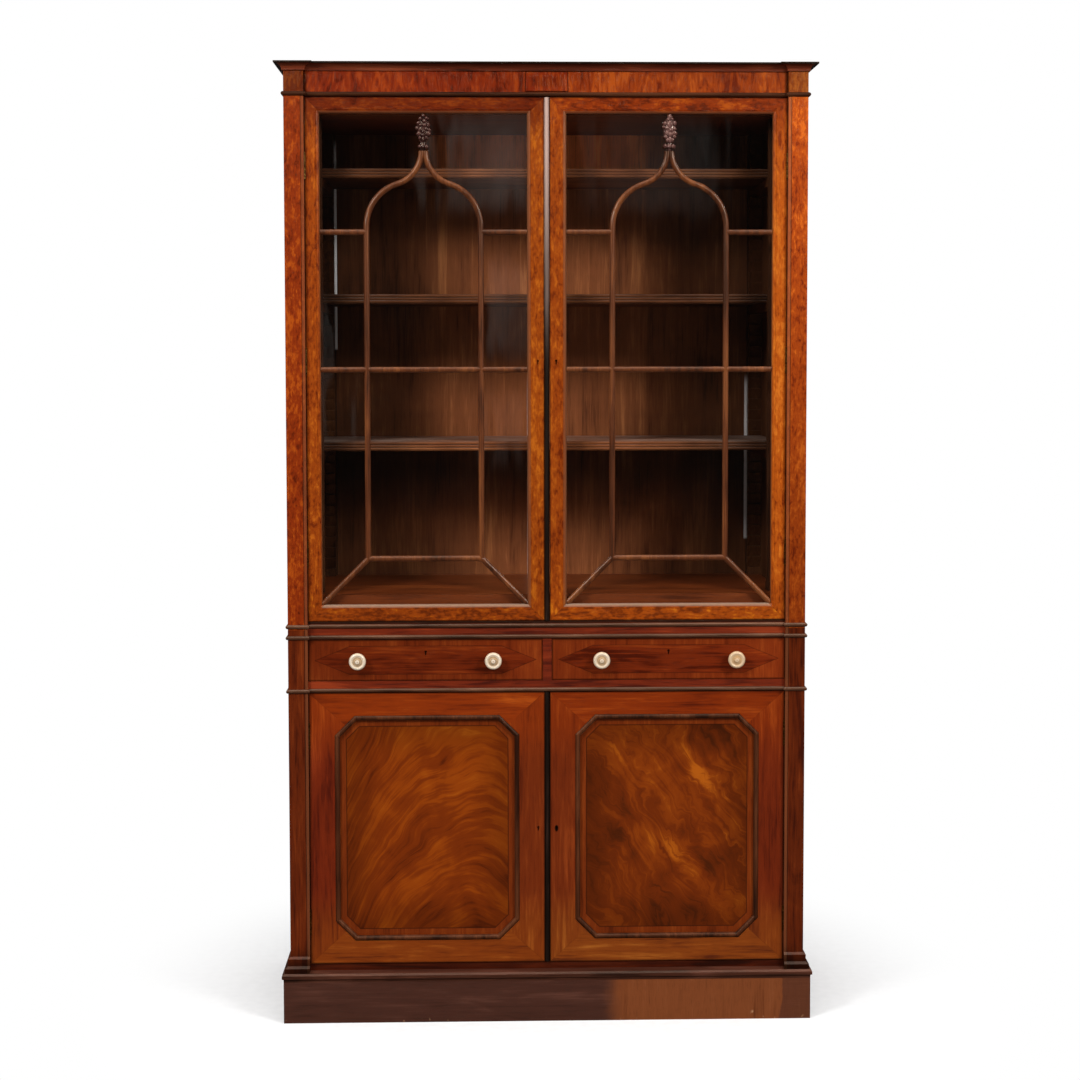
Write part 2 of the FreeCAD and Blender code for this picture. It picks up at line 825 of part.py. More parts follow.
def make_upper_case():
    panels = []
    pilasters = []
    linings = []
    for side in (-1, 1):
        hand = "left" if side < 0 else "right"
        panels.append(side_panel(f"upper_{hand}_panel", side, (base_top, case_top)))
        shaft = box(
            f"upper_{hand}_shaft", span(side, pilaster_in, half_case),
            (pilaster_y, side_front_y), (base_top, case_top),
        )
        recesses = hinge_recesses(f"upper_{hand}_hinge", side, upper_hinges)
        pilasters.append(cut(f"upper_{hand}_pilaster", shaft, *recesses))
        linings.append(box(
            f"{hand}_lining", span(side, lining_in, side_in), (side_front_y, backing_y),
            (upper_foot, top_board_z - dim.top_board_thick),
        ))
    node("upper_side_panels", *panels)
    node("upper_pilasters", *pilasters)
    node("upper_side_linings", *linings)
    inside_x = (-lining_in, lining_in)
    inside_y = (inner_front_y, backing_y)
    rail_y = (inner_front_y, inner_front_y + dim.floor_rail_thick)
    top_y = (face_y + dim.frieze_thick, backing_y)
    node(
        "upper_boards",
        notched_board("upper_floor", face_y, (base_top, upper_foot)),
        box("floor_rail", inside_x, rail_y, (upper_foot, raised_floor_z)),
        box("raised_floor", inside_x, inside_y, (raised_floor_z, raised_floor_top)),
        box("ceiling", inside_x, inside_y, (ceiling_z, ceiling_top)),
        box("top_board", (-side_in, side_in), top_y, (top_board_z - dim.top_board_thick, top_board_z)),
    )
    back_boards("upper_back_boards", (base_top, case_top))


# Adjustable shelves: toothed racks, loose cleats and reeded shelves

rack_front_y = inner_front_y + dim.rack_front_setback - dim.rack_depth
rack_face_y = rack_front_y + dim.rack_depth
rear_rack_face_y = backing_y - dim.rack_depth
rack_in = lining_in - dim.rack_width
teeth_high = ceiling_z - raised_floor_top - dim.first_tooth_rise - dim.last_tooth_drop
tooth_pitch = teeth_high / TOOTH_COUNT


def toothed_post():
    """The right front rack: a post with a row of ledges cut into its inner face, each with a slope above."""
    body = document.addObject("PartDesign::Body", "toothed_post")
    edges = span(1, rack_in, lining_in)
    width = edges[1] - edges[0]
    post = [
        (rack_front_y, raised_floor_top), (rack_face_y, raised_floor_top),
        (rack_face_y, ceiling_z), (rack_front_y, ceiling_z),
    ]
    pad = body.newObject("PartDesign::Pad", "post")
    pad.Profile = outline_sketch(body, "post_outline", "YZ_Plane", post, edges[0])
    bind(pad, "Length", width)
    body.Tip = pad
    ledge = raised_floor_top + dim.first_tooth_rise
    root = rack_face_y - dim.tooth_depth
    notch = [(rack_face_y, ledge), (root, ledge), (rack_face_y, ledge + tooth_pitch - dim.tooth_flat)]
    pocket = body.newObject("PartDesign::Pocket", "tooth")
    pocket.Profile = outline_sketch(body, "tooth_outline", "YZ_Plane", notch, edges[1])
    bind(pocket, "Length", width)
    body.Tip = pocket
    row = body.newObject("PartDesign::LinearPattern", "teeth")
    row.Originals = [pocket]
    row.Direction = (next(axis for axis in body.Origin.OriginFeatures if axis.Role == "Z_Axis"), [""])
    row.Occurrences = TOOTH_COUNT
    bind(row, "Length", tooth_pitch * (TOOTH_COUNT - 1))
    body.Tip = row
    return body


def mirrored(name, source, normal, x=0, y=0):
    """A mirror image across the plane through a point."""
    image = document.addObject("Part::Mirroring", name)
    image.Source = source
    image.Normal = normal
    bind(image, "Base.x", x)
    bind(image, "Base.y", y)
    return image


def cleat_outline(ledge):
    """A bar whose ends are cut to the teeth that hold it."""
    long_front = rack_face_y - dim.tooth_depth + dim.cleat_gap
    long_back = rear_rack_face_y + dim.tooth_depth - dim.cleat_gap
    slope_high = tooth_pitch - dim.tooth_flat
    lean = Length(f"({dim.tooth_depth.text} * {dim.cleat_high.text} / {slope_high.text})",
                  dim.tooth_depth.value * dim.cleat_high.value / slope_high.value)
    return [
        (long_front, ledge),
        (long_back, ledge),
        (long_back - lean, ledge + dim.cleat_high),
        (long_front + lean, ledge + dim.cleat_high),
    ]


def shelf_outline(bottom):
    """A board with a reeded front edge."""
    front = rack_face_y + dim.cleat_gap + dim.reed_radius
    back = rear_rack_face_y - dim.cleat_gap
    top = bottom + dim.book_shelf_thick
    reed_pitch = dim.reed_radius * 2
    first = bottom + (dim.book_shelf_thick - reed_pitch * REED_COUNT) / 2
    outline = [(front, bottom), (back, bottom), (back, top), (front, top)]
    for number in reversed(range(REED_COUNT)):
        low = first + reed_pitch * number
        middle = low + dim.reed_radius
        outline.append((front, low + reed_pitch, front, middle, "ccw"))
        outline.append((front - dim.reed_radius, middle, front, middle, "ccw"))
    outline.append((front, first))
    return outline


def make_shelving():
    across, along = FreeCAD.Vector(1, 0, 0), FreeCAD.Vector(0, 1, 0)
    right_front = toothed_post()
    right_rear = mirrored("right_rear_rack", right_front, along, y=(rack_face_y + rear_rack_face_y) / 2)
    left_front = mirrored("left_front_rack", right_front, across)
    left_rear = mirrored("left_rear_rack", right_rear, across)
    racks = [right_front, right_rear, left_front, left_rear]
    cleats = []
    for side in (-1, 1):
        hand = "left" if side < 0 else "right"
        edges = span(side, rack_in, lining_in)
        for tooth in SHELF_TEETH:
            outline = cleat_outline(shelf_ledge(tooth))
            cleats.append(prism(f"{hand}_cleat_{tooth}", "YZ_Plane", outline, edges[0], edges[1]))
    node("shelf_racks", *racks)
    node("shelf_cleats", *cleats)
    reach = lining_in - dim.shelf_end_gap
    shelves = []
    for tooth in SHELF_TEETH:
        bottom = shelf_ledge(tooth) + dim.cleat_high
        shelves.append(prism(f"book_shelf_{tooth}", "YZ_Plane", shelf_outline(bottom), -reach, reach))
    node("bookshelves", *shelves)


def shelf_ledge(tooth):
    return raised_floor_top + dim.first_tooth_rise + tooth_pitch * tooth


# Hinges

def hinge(name, side, centre, own_knuckles, leaf_x, bore):
    """Half of a butt hinge: a leaf and its own knuckles, counted from below.

    With bore, the knuckles turn on a pin; without it they hold the pin.
    """
    share = dim.hinge_high / KNUCKLE_COUNT
    low = centre - dim.hinge_high / 2
    leaf_y = pin_y + dim.knuckle_radius + dim.knuckle_gap
    leaf = box(
        f"{name}_leaf", span(side, leaf_x[0], leaf_x[1]), (leaf_y, leaf_y + dim.hinge_leaf_width),
        (low, low + dim.hinge_high),
    )
    solids = [leaf]
    running = dim.knuckle_gap / 2
    for number in own_knuckles:
        z0 = low + share * number + (running if number else 0)
        z1 = low + share * (number + 1) - (running if number < KNUCKLE_COUNT - 1 else 0)
        web = box(f"{name}_web_{number}", span(side, leaf_x[0], leaf_x[1]), (pin_y, leaf_y), (z0, z1))
        knuckle = cylinder(f"{name}_knuckle_{number}", "Z", (pin_x * side, pin_y, z0), dim.knuckle_radius, z1 - z0)
        solids += [web, knuckle]
    if not bore:
        solids.append(cylinder(
            f"{name}_pin", "Z", (pin_x * side, pin_y, low), dim.hinge_pin_radius, dim.hinge_high,
        ))
        return fuse(name, *solids)
    hole = cylinder(
        f"{name}_hole", "Z", (pin_x * side, pin_y, low), dim.hinge_pin_radius + dim.pin_clearance, dim.hinge_high,
    )
    return cut(name, fuse(f"{name}_solid", *solids), hole)


def case_hinge(name, side, centre):
    near = pin_x + dim.hinge_leaf_gap / 2
    return hinge(name, side, centre, CASE_KNUCKLES, (near, near + dim.hinge_leaf_thick), False)


def door_hinge(name, side, centre):
    near = pin_x - dim.hinge_leaf_gap / 2
    return hinge(name, side, centre, DOOR_KNUCKLES, (near - dim.hinge_leaf_thick, near), True)


def make_case_hinges():
    leaves = []
    for side in (-1, 1):
        hand = "left" if side < 0 else "right"
        for number, centre in enumerate(lower_hinges + upper_hinges):
            leaves.append(case_hinge(f"{hand}_case_hinge_{number}", side, centre))
    node("case_hinge_leaves", *leaves)


def door_hinge_beds(name, side, centres):
    """What the hinges take out of the door's outer edge."""
    tools = []
    leaf_in = pin_x - dim.hinge_leaf_gap / 2 - dim.hinge_leaf_thick
    leaf_end = pin_y + dim.knuckle_radius + dim.knuckle_gap + dim.hinge_leaf_width
    for number, centre in enumerate(centres):
        z = (centre - dim.hinge_high / 2, centre + dim.hinge_high / 2)
        tools.append(box(f"{name}_bed_{number}", span(side, leaf_in, pin_x), (pin_y, leaf_end), z))
        tools.append(cylinder(
            f"{name}_room_{number}", "Z", (pin_x * side, pin_y, z[0]),
            dim.knuckle_radius + dim.knuckle_gap, dim.hinge_high,
        ))
    return tools


# Locks

def keyhole(name, x, z, depth_y):
    """A keyhole cutter from in front of the face to a depth."""
    eye = cylinder(f"{name}_eye", "Y", (x, pilaster_y, z), dim.key_radius, depth_y - pilaster_y)
    half = dim.key_slot_width / 2
    slot = box(f"{name}_slot", (x - half, x + half), (pilaster_y, depth_y), (z - dim.key_slot_drop, z))
    return fuse(name, eye, slot)


lock_y = (door_back_y - dim.lock_case_thick, door_back_y)
door_bolt_middle = (lock_y[0] + lock_y[1]) / 2
bolt_y = (door_bolt_middle - dim.bolt_thick / 2, door_bolt_middle + dim.bolt_thick / 2)
strip_right = dim.meeting_half - dim.door_gap


def door_lock(name, level):
    """A cased lock let into the back of the right door's meeting stile, and its sliding bolt."""
    near = dim.meeting_half
    case_x = (near, near + dim.lock_case_wide)
    case_z = (level - dim.lock_case_long / 2, level + dim.lock_case_long / 2)
    case = box(f"{name}_case", case_x, lock_y, case_z)
    half = dim.bolt_wide / 2
    bolt_x = (near + dim.bolt_setback, near + dim.bolt_setback + dim.bolt_long)
    way = box(
        f"{name}_way", (near, bolt_x[1] + dim.bolt_gap), (bolt_y[0] - dim.bolt_gap, bolt_y[1] + dim.bolt_gap),
        (level - half - dim.bolt_gap, level + half + dim.bolt_gap),
    )
    node(f"{name}_lock", cut(f"{name}_lock_case", case, way))
    node(f"{name}_lock_bolt", box(f"{name}_bolt", bolt_x, bolt_y, (level - half, level + half)))
    return box(f"{name}_lock_bed", case_x, lock_y, case_z)


def meeting_strip(name, z, level):
    """The beaded strip on the left door's meeting edge, mortised for the right door's bolt."""
    left = -dim.meeting_half
    quirk = dim.meeting_quirk
    bead = (strip_right - left - quirk * 2) / 2
    middle = left + quirk + bead
    nose = face_y + bead - dim.meeting_bead_proud
    outline = [
        (left, door_back_y),
        (left, face_y + quirk),
        (left + quirk, face_y + quirk),
        (left + quirk, nose, middle, nose, "ccw"),
        (middle, nose - bead, middle, nose, "ccw"),
        (strip_right - quirk, nose),
        (strip_right - quirk, face_y + quirk),
        (strip_right, face_y + quirk),
        (strip_right, door_back_y),
    ]
    strip = prism(name, "XY_Plane", outline, z[0], z[1])
    half = dim.bolt_wide / 2 + dim.bolt_gap
    deep = dim.meeting_half + dim.bolt_setback - dim.door_bolt_throw - dim.mortise_spare
    mortise = box(
        f"{name}_mortise", (deep, strip_right), (bolt_y[0] - dim.bolt_gap, bolt_y[1] + dim.bolt_gap),
        (level - half, level + half),
    )
    node(name, cut(f"{name}_mortised", strip, mortise))


# Glazed doors

sticking_drop = dim.glass_setback - dim.sticking_quirk - dim.sticking_flat
fin_depth = dim.door_thick - dim.glass_setback - dim.fin_setback
sight_near = dim.meeting_half + dim.meeting_stile_width
sight_far = door_out - dim.outer_stile_width
sight_z = (upper_door_z[0] + dim.bottom_rail_high, upper_door_z[1] - dim.top_rail_high)
sight_centre = (sight_near + sight_far) / 2
sight_half = (sight_far - sight_near) / 2

# The ogee arch hangs from the finial: each half is two arcs that meet where their centres' line crosses them
bend_x = dim.bar_spread - dim.lower_arc_radius
turn_x = dim.apex_half + dim.upper_arc_radius
arc_reach = dim.lower_arc_radius + dim.upper_arc_radius
arc_run = turn_x - bend_x
arc_sweep = f"acos({arc_run.text} / {arc_reach.text})"
arc_rise = Length(f"sqrt({arc_reach.text}^2 - {arc_run.text}^2)", (arc_reach.value ** 2 - arc_run.value ** 2) ** 0.5)
apex_z = sight_z[1] - dim.finial_high
spring_z = apex_z - arc_rise
side_bar_z = spring_z - dim.spring_rise
foot_bar_z = sight_z[0] + sight_half - dim.bar_spread
middle_bar_z = foot_bar_z + (side_bar_z - foot_bar_z) * MIDDLE_BAR_SHARE
upper_lock_z = middle_bar_z + dim.lock_above_bar


def member_section(outer, sight, toward):
    """A frame member's section; toward is +1 where the glass lies on the rising side of the sight line."""
    start = sight - dim.sticking_width * toward
    quirk_y = face_y + dim.sticking_quirk
    low_y = quirk_y + sticking_drop
    rebate = sight - dim.glass_rebate_width * toward
    return [
        (outer, face_y),
        (start, face_y),
        (start, quirk_y),
        (sight, low_y),
        (sight, glass_y),
        (rebate, glass_y),
        (rebate, door_back_y),
        (outer, door_back_y),
    ]


def with_ovolo(section, toward):
    """Turns the slope of a section's inner edge into a quarter round."""
    start, sight = section[2][0], section[3][0]
    quirk_y, low_y = section[2][1], section[3][1]
    turn = "ccw" if toward > 0 else "cw"
    rounded = list(section)
    rounded[2] = (start, quirk_y, start, low_y, turn)
    return rounded


def swap(section):
    """Turns a section drawn as (place, depth) into (depth, place), for the planes that want it so."""
    swapped = []
    for point in section:
        if len(point) == 2:
            swapped.append((point[1], point[0]))
        else:
            turn = "ccw" if point[4] == "cw" else "cw"
            swapped.append((point[1], point[0], point[3], point[2], turn))
    return swapped


def glazed_frame(hand, side):
    """Two stiles and two rails, mitred at the corners."""
    out_x, in_x = door_out * side, dim.meeting_half * side
    far_x, near_x = sight_far * side, sight_near * side
    low, high = upper_door_z
    sight_low, sight_high = sight_z
    mitres = {
        "outer_stile": [(out_x, low), (out_x, high), (far_x, sight_high), (far_x, sight_low)],
        "meeting_stile": [(in_x, low), (in_x, high), (near_x, sight_high), (near_x, sight_low)],
        "top_rail": [(in_x, high), (out_x, high), (far_x, sight_high), (near_x, sight_high)],
        "bottom_rail": [(in_x, low), (out_x, low), (far_x, sight_low), (near_x, sight_low)],
    }
    sections = {
        "outer_stile": (out_x, far_x, -side),
        "meeting_stile": (in_x, near_x, side),
        "top_rail": (high, sight_high, -1),
        "bottom_rail": (low, sight_low, 1),
    }
    members = []
    for member, mitre in mitres.items():
        name = f"upper_{hand}_{member}"
        outer, sight, toward = sections[member]
        section = with_ovolo(member_section(outer, sight, toward), toward)
        if member.endswith("stile"):
            length = prism(f"{name}_length", "XY_Plane", section, low, high)
        else:
            ends = span(side, dim.meeting_half, door_out)
            length = prism(f"{name}_length", "YZ_Plane", swap(section), ends[0], ends[1])
        shape = prism(f"{name}_mitre", "XZ_Plane", mitre, face_y, door_back_y)
        members.append(common(name, length, shape))
    return members


def straight_bar(name, x, z, length, tilt, fin):
    """A glazing bar centred at a point and tilted from the upright: half-round front, or its fin behind."""
    if fin:
        half = fin / 2
        outline = [(-half, 0), (half, 0), (half, fin_depth), (-half, fin_depth)]
    else:
        radius = dim.bar_radius
        outline = [(radius, 0), (-radius, 0, 0, 0, "ccw"), (0, -radius, 0, 0, "ccw")]
    bar = prism(name, "XY_Plane", outline, -length / 2, length / 2)
    bar.Placement = FreeCAD.Placement(FreeCAD.Vector(), FreeCAD.Rotation(FreeCAD.Vector(0, 1, 0), tilt))
    return place(bar, x, glass_y, z)


def curved_bar(name, x, z, radius, sweep, middle, fin):
    """A glazing bar bent about a point; sweep and middle are expressions for its angle and for halfway along it."""
    if fin:
        half = fin / 2
        outline = [
            (radius - half, 0), (radius + half, 0), (radius + half, fin_depth), (radius - half, fin_depth),
        ]
    else:
        tube = dim.bar_radius
        outline = [
            (radius + tube, 0),
            (radius - tube, 0, radius, 0, "ccw"),
            (radius, -tube, radius, 0, "ccw"),
        ]
    bar = turned(name, "XY_Plane", outline, sweep)
    bar.Placement = FreeCAD.Placement(FreeCAD.Vector(), FreeCAD.Rotation(FreeCAD.Vector(0, 1, 0), -1))
    bar.setExpression("Placement.Rotation.Angle", middle)
    return place(bar, x, glass_y, z)


UPRIGHT, LEVEL, RISING, FALLING = 0, 90, 45, -45


def lattice(name, centre, fin):
    """All the bars of one door: a Gothic light headed by an ogee arch and footed by two diagonals."""
    spread = dim.bar_spread
    over = dim.bar_radius * 2
    bars = []

    def straight(label, x, z, length, tilt):
        bars.append(straight_bar(f"{name}_{label}", centre + x, z, length, tilt, fin))

    for side in (-1, 1):
        hand = "left" if side < 0 else "right"
        straight(f"{hand}_upright", spread * side, (foot_bar_z + spring_z) / 2, spring_z - foot_bar_z, UPRIGHT)
        side_run = sight_half - spread + over
        straight(f"{hand}_side", (spread + side_run / 2) * side, side_bar_z, side_run, LEVEL)
        diagonal_run = sight_half - spread + over
        middle_x = (spread + diagonal_run / 2) * side
        tilt = RISING if side < 0 else FALLING
        straight(f"{hand}_diagonal", middle_x, foot_bar_z - diagonal_run / 2, diagonal_run * DIAGONAL_SHARE, tilt)
        low_middle = f"-({arc_sweep}) / 2"
        high_middle = f"180 deg - ({arc_sweep}) / 2"
        if side < 0:
            low_middle = f"180 deg + ({arc_sweep}) / 2"
            high_middle = f"({arc_sweep}) / 2"
        bars.append(curved_bar(
            f"{name}_{hand}_shoulder", centre + bend_x * side, spring_z,
            dim.lower_arc_radius, arc_sweep, low_middle, fin,
        ))
        bars.append(curved_bar(
            f"{name}_{hand}_head", centre + turn_x * side, apex_z,
            dim.upper_arc_radius, arc_sweep, high_middle, fin,
        ))
    straight("middle", as_length(0), middle_bar_z, (sight_half + over) * 2, LEVEL)
    straight("foot", as_length(0), foot_bar_z, spread * 2, LEVEL)
    if fin:
        half = dim.apex_half + (fin - dim.fin_width) / 2
        outline = [(-half, 0), (half, 0), (half, fin_depth), (-half, fin_depth)]
        foot_z = apex_z - dim.bar_radius
        post = prism(f"{name}_stem", "XY_Plane", outline, 0, sight_z[1] + over - foot_z)
        bars.append(place(post, centre, glass_y, foot_z))
    return fuse(f"{name}_bars", *bars)


def glazed_door(side):
    hand = "left" if side < 0 else "right"
    frame = glazed_frame(hand, side)
    level = upper_lock_z
    frame[0] = cut(f"upper_{hand}_hung_stile", frame[0], *door_hinge_beds(f"upper_{hand}_door", side, upper_hinges))
    key_x = (dim.meeting_half + dim.key_inset) * side
    if side > 0:
        bed = door_lock("upper_door", level)
        hole = keyhole("upper_key", key_x, level, lock_y[0])
        frame[1] = cut("upper_right_lock_stile", frame[1], bed, hole)
    else:
        hole = keyhole("upper_dummy_key", key_x, level, face_y + dim.dummy_key_depth)
        frame[1] = cut("upper_left_key_stile", frame[1], hole)
        meeting_strip("upper_meeting_bead", upper_door_z, level)
    node(f"upper_{hand}_door_frame", *frame)
    centre = sight_centre * side
    front = lattice(f"{hand}_astragal", centre, None)
    back = lattice(f"{hand}_fin", centre, dim.fin_width)
    sight_x = (centre - sight_half, centre + sight_half)
    over = dim.bar_radius
    opening = box(f"{hand}_sight", sight_x, (glass_y - over, glass_y), sight_z)
    rebate = dim.glass_rebate_width
    wide_x = (sight_x[0] - rebate, sight_x[1] + rebate)
    wide_z = (sight_z[0] - rebate, sight_z[1] + rebate)
    deep = box(f"{hand}_rebate", wide_x, (glass_y, glass_y + fin_depth), wide_z)
    node(f"upper_{hand}_glazing_bars", fuse(
        f"{hand}_bars", common(f"{hand}_front_bars", front, opening), common(f"{hand}_back_bars", back, deep),
    ))
    gap = dim.pane_gap
    plate = box(
        f"{hand}_plate", (wide_x[0] + gap, wide_x[1] - gap), (glass_y, glass_y + dim.glass_thick),
        (wide_z[0] + gap, wide_z[1] - gap),
    )
    saw = lattice(f"{hand}_pane_saw", centre, dim.fin_width + gap * 2)
    node(f"upper_{hand}_panes", cut(f"{hand}_glass", plate, saw))
    finial(hand, centre)
    hinges = [door_hinge(f"upper_{hand}_door_hinge_{n}", side, z) for n, z in enumerate(upper_hinges)]
    node(f"upper_{hand}_door_hinges", *hinges)


def finial(hand, centre):
    """The carved bud that heads the arch, flat where it lies against the glass."""
    outline = [(as_length(0), as_length(0))]
    for up, out in FINIAL_SHARES:
        outline.append((dim.finial_radius * out, dim.finial_high * up))
    outline.append((as_length(0), dim.finial_high))
    bud = turned(f"{hand}_bud", "XZ_Plane", outline)
    place(bud, centre, glass_y + dim.finial_sink, apex_z)
    reach = dim.finial_radius
    room = box(
        f"{hand}_bud_room", (centre - reach, centre + reach), (glass_y - reach, glass_y), (apex_z, sight_z[1]),
    )
    carved = common(f"{hand}_bud_front", bud, room)
    node(f"upper_{hand}_finial", carved)


# Panelled doors

def panel_member(name, outline_front, outline_back):
    """A frame member: its front shows the canted opening, its back is rebated for the panel."""
    rebate_y = face_y + dim.panel_setback
    front = prism(f"{name}_front", "XZ_Plane", outline_front, face_y, rebate_y)
    back = prism(f"{name}_back", "XZ_Plane", outline_back, rebate_y, door_back_y)
    return fuse(name, front, back)


def canted_members(side, inset):
    """Mitred outlines of the four members round an octagon that is inset by a width less than the frame."""
    out_x, in_x = door_out * side, dim.meeting_half * side
    low, high = lower_door_z
    far_x = (door_out - dim.panel_stile_width + inset) * side
    near_x = (dim.meeting_half + dim.panel_stile_width - inset) * side
    sill, head = low + dim.panel_rail_high - inset, high - dim.panel_rail_high + inset
    cant = dim.cant
    half = cant / 2

    def stile(edge_x, inner_x, inward):
        return [
            (edge_x, low), (edge_x, high),
            (inner_x + half * inward, head - half), (inner_x, head - cant),
            (inner_x, sill + cant), (inner_x + half * inward, sill + half),
        ]

    def rail(edge_z, inner_z, inward):
        return [
            (in_x, edge_z), (out_x, edge_z),
            (far_x - half * side, inner_z + half * inward), (far_x - cant * side, inner_z),
            (near_x + cant * side, inner_z), (near_x + half * side, inner_z + half * inward),
        ]

    return {
        "outer_stile": stile(out_x, far_x, -side),
        "meeting_stile": stile(in_x, near_x, side),
        "top_rail": rail(high, head, -1),
        "bottom_rail": rail(low, sill, 1),
    }


def octagon(centre, middle_z, half_width, half_height, cant):
    """Corners of a canted rectangle, from the middle of its low-x edge upward."""
    left, right = centre - half_width, centre + half_width
    low, high = middle_z - half_height, middle_z + half_height
    return [
        (left, middle_z), (left, high - cant), (left + cant, high), (right - cant, high), (right, high - cant),
        (right, low + cant), (right - cant, low), (left + cant, low), (left, low + cant),
    ]


def panelled_door(side):
    hand = "left" if side < 0 else "right"
    fronts = canted_members(side, as_length(0))
    backs = canted_members(side, dim.panel_rebate)
    frame = [panel_member(f"lower_{hand}_{member}", fronts[member], backs[member]) for member in fronts]
    level = lower_lock_z
    frame[0] = cut(f"lower_{hand}_hung_stile", frame[0], *door_hinge_beds(f"lower_{hand}_door", side, lower_hinges))
    key_x = (dim.meeting_half + dim.key_inset) * side
    if side > 0:
        bed = door_lock("lower_door", level)
        hole = keyhole("lower_key", key_x, level, lock_y[0])
        frame[1] = cut("lower_right_lock_stile", frame[1], bed, hole)
    else:
        hole = keyhole("lower_dummy_key", key_x, level, face_y + dim.dummy_key_depth)
        frame[1] = cut("lower_left_key_stile", frame[1], hole)
        meeting_strip("lower_meeting_bead", lower_door_z, level)
    node(f"lower_{hand}_door_frame", *frame)
    centre = (door_out + dim.meeting_half) / 2 * side
    middle_z = (lower_door_z[0] + lower_door_z[1]) / 2
    half_width = (door_out - dim.meeting_half) / 2 - dim.panel_stile_width
    half_height = (lower_door_z[1] - lower_door_z[0]) / 2 - dim.panel_rail_high
    panel_y = face_y + dim.panel_setback
    rebate = dim.panel_rebate
    board = prism(
        f"lower_{hand}_panel_board", "XZ_Plane",
        octagon(centre, middle_z, half_width + rebate, half_height + rebate, dim.cant),
        panel_y, panel_y + dim.panel_thick,
    )
    node(f"lower_{hand}_panel", board)
    width = dim.panel_moulding_width
    half = width / 2
    path = octagon(
        centre, middle_z, half_width - half, half_height - half, dim.cant - half * CANT_INSET_SHARE,
    )
    left = path[0][0]
    front = face_y - dim.panel_moulding_proud
    shoulder = front + half
    section = [
        (left + half, panel_y),
        (left - half, panel_y),
        (left - half, shoulder, left, shoulder, "ccw"),
        (left, front, left, shoulder, "ccw"),
        (left + half, shoulder),
    ]
    node(f"lower_{hand}_panel_moulding", swept(
        f"lower_{hand}_ring", "XZ_Plane", path, -panel_y, True, "XY_Plane", section, middle_z,
    ))
    hinges = [door_hinge(f"lower_{hand}_door_hinge_{n}", side, z) for n, z in enumerate(lower_hinges)]
    node(f"lower_{hand}_door_hinges", *hinges)


# Drawers

def drawer(side):
    hand = "left" if side < 0 else "right"
    x = span(side, drawer_near, drawer_far)
    centre = drawer_centre * side
    back_front = drawer_back_of_front
    back_y_end = backing_y - dim.drawer_back_gap
    side_thick = dim.drawer_side_thick
    front = box(f"{hand}_front_board", x, (face_y, back_front), drawer_z)
    lock_x = (centre - dim.lock_case_long / 2, centre + dim.lock_case_long / 2)
    lock_z = (drawer_z[1] - dim.drawer_lock_high, drawer_z[1])
    bed = box(f"{hand}_drawer_lock_bed", lock_x, drawer_lock_y, lock_z)
    key_z = drawer_head - dim.drawer_key_drop
    knob_z = (drawer_z[0] + drawer_z[1]) / 2
    holes = [bed, keyhole(f"{hand}_drawer_key", centre, key_z, drawer_lock_y[0])]
    knobs = []
    for number, knob_side in enumerate((-1, 1)):
        knob_x = centre + dim.knob_spread * knob_side
        holes.append(cylinder(
            f"{hand}_peg_hole_{number}", "Y", (knob_x, face_y, knob_z), dim.knob_peg_radius, dim.knob_peg_length,
        ))
        knobs.append(place(knob(f"{hand}_knob_{number}"), knob_x, face_y, knob_z))
    node(f"{hand}_drawer_front", cut(f"{hand}_front", front, *holes))
    node(f"{hand}_drawer_knobs", *knobs)
    side_z = (drawer_z[0], drawer_z[1] - dim.drawer_side_drop)
    bottom_z = drawer_z[0] + dim.drawer_bottom_rise
    bottom_top = bottom_z + dim.drawer_bottom_thick
    near_side = box(f"{hand}_drawer_low_side", (x[0], x[0] + side_thick), (back_front, back_y_end), side_z)
    far_side = box(f"{hand}_drawer_high_side", (x[1] - side_thick, x[1]), (back_front, back_y_end), side_z)
    inside = (x[0] + side_thick, x[1] - side_thick)
    bottom = box(f"{hand}_drawer_bottom", inside, (back_front, back_y_end), (bottom_z, bottom_top))
    back = box(f"{hand}_drawer_back", inside, (back_y_end - side_thick, back_y_end), (bottom_top, side_z[1]))
    node(f"{hand}_drawer_box", near_side, far_side, bottom, back)
    case = box(f"{hand}_drawer_lock_block", lock_x, drawer_lock_y, lock_z)
    half = dim.bolt_wide / 2
    bolt_top = drawer_z[1] - dim.bolt_setback
    bolt_z = (bolt_top - dim.bolt_long, bolt_top)
    way = box(
        f"{hand}_drawer_bolt_way", (centre - half - dim.bolt_gap, centre + half + dim.bolt_gap),
        (drawer_bolt_y[0] - dim.bolt_gap, drawer_bolt_y[1] + dim.bolt_gap),
        (bolt_z[0] - dim.bolt_gap, drawer_z[1]),
    )
    node(f"{hand}_drawer_lock", cut(f"{hand}_drawer_lock_case", case, way))
    node(f"{hand}_drawer_lock_bolt", box(
        f"{hand}_drawer_bolt", (centre - half, centre + half), drawer_bolt_y, bolt_z,
    ))


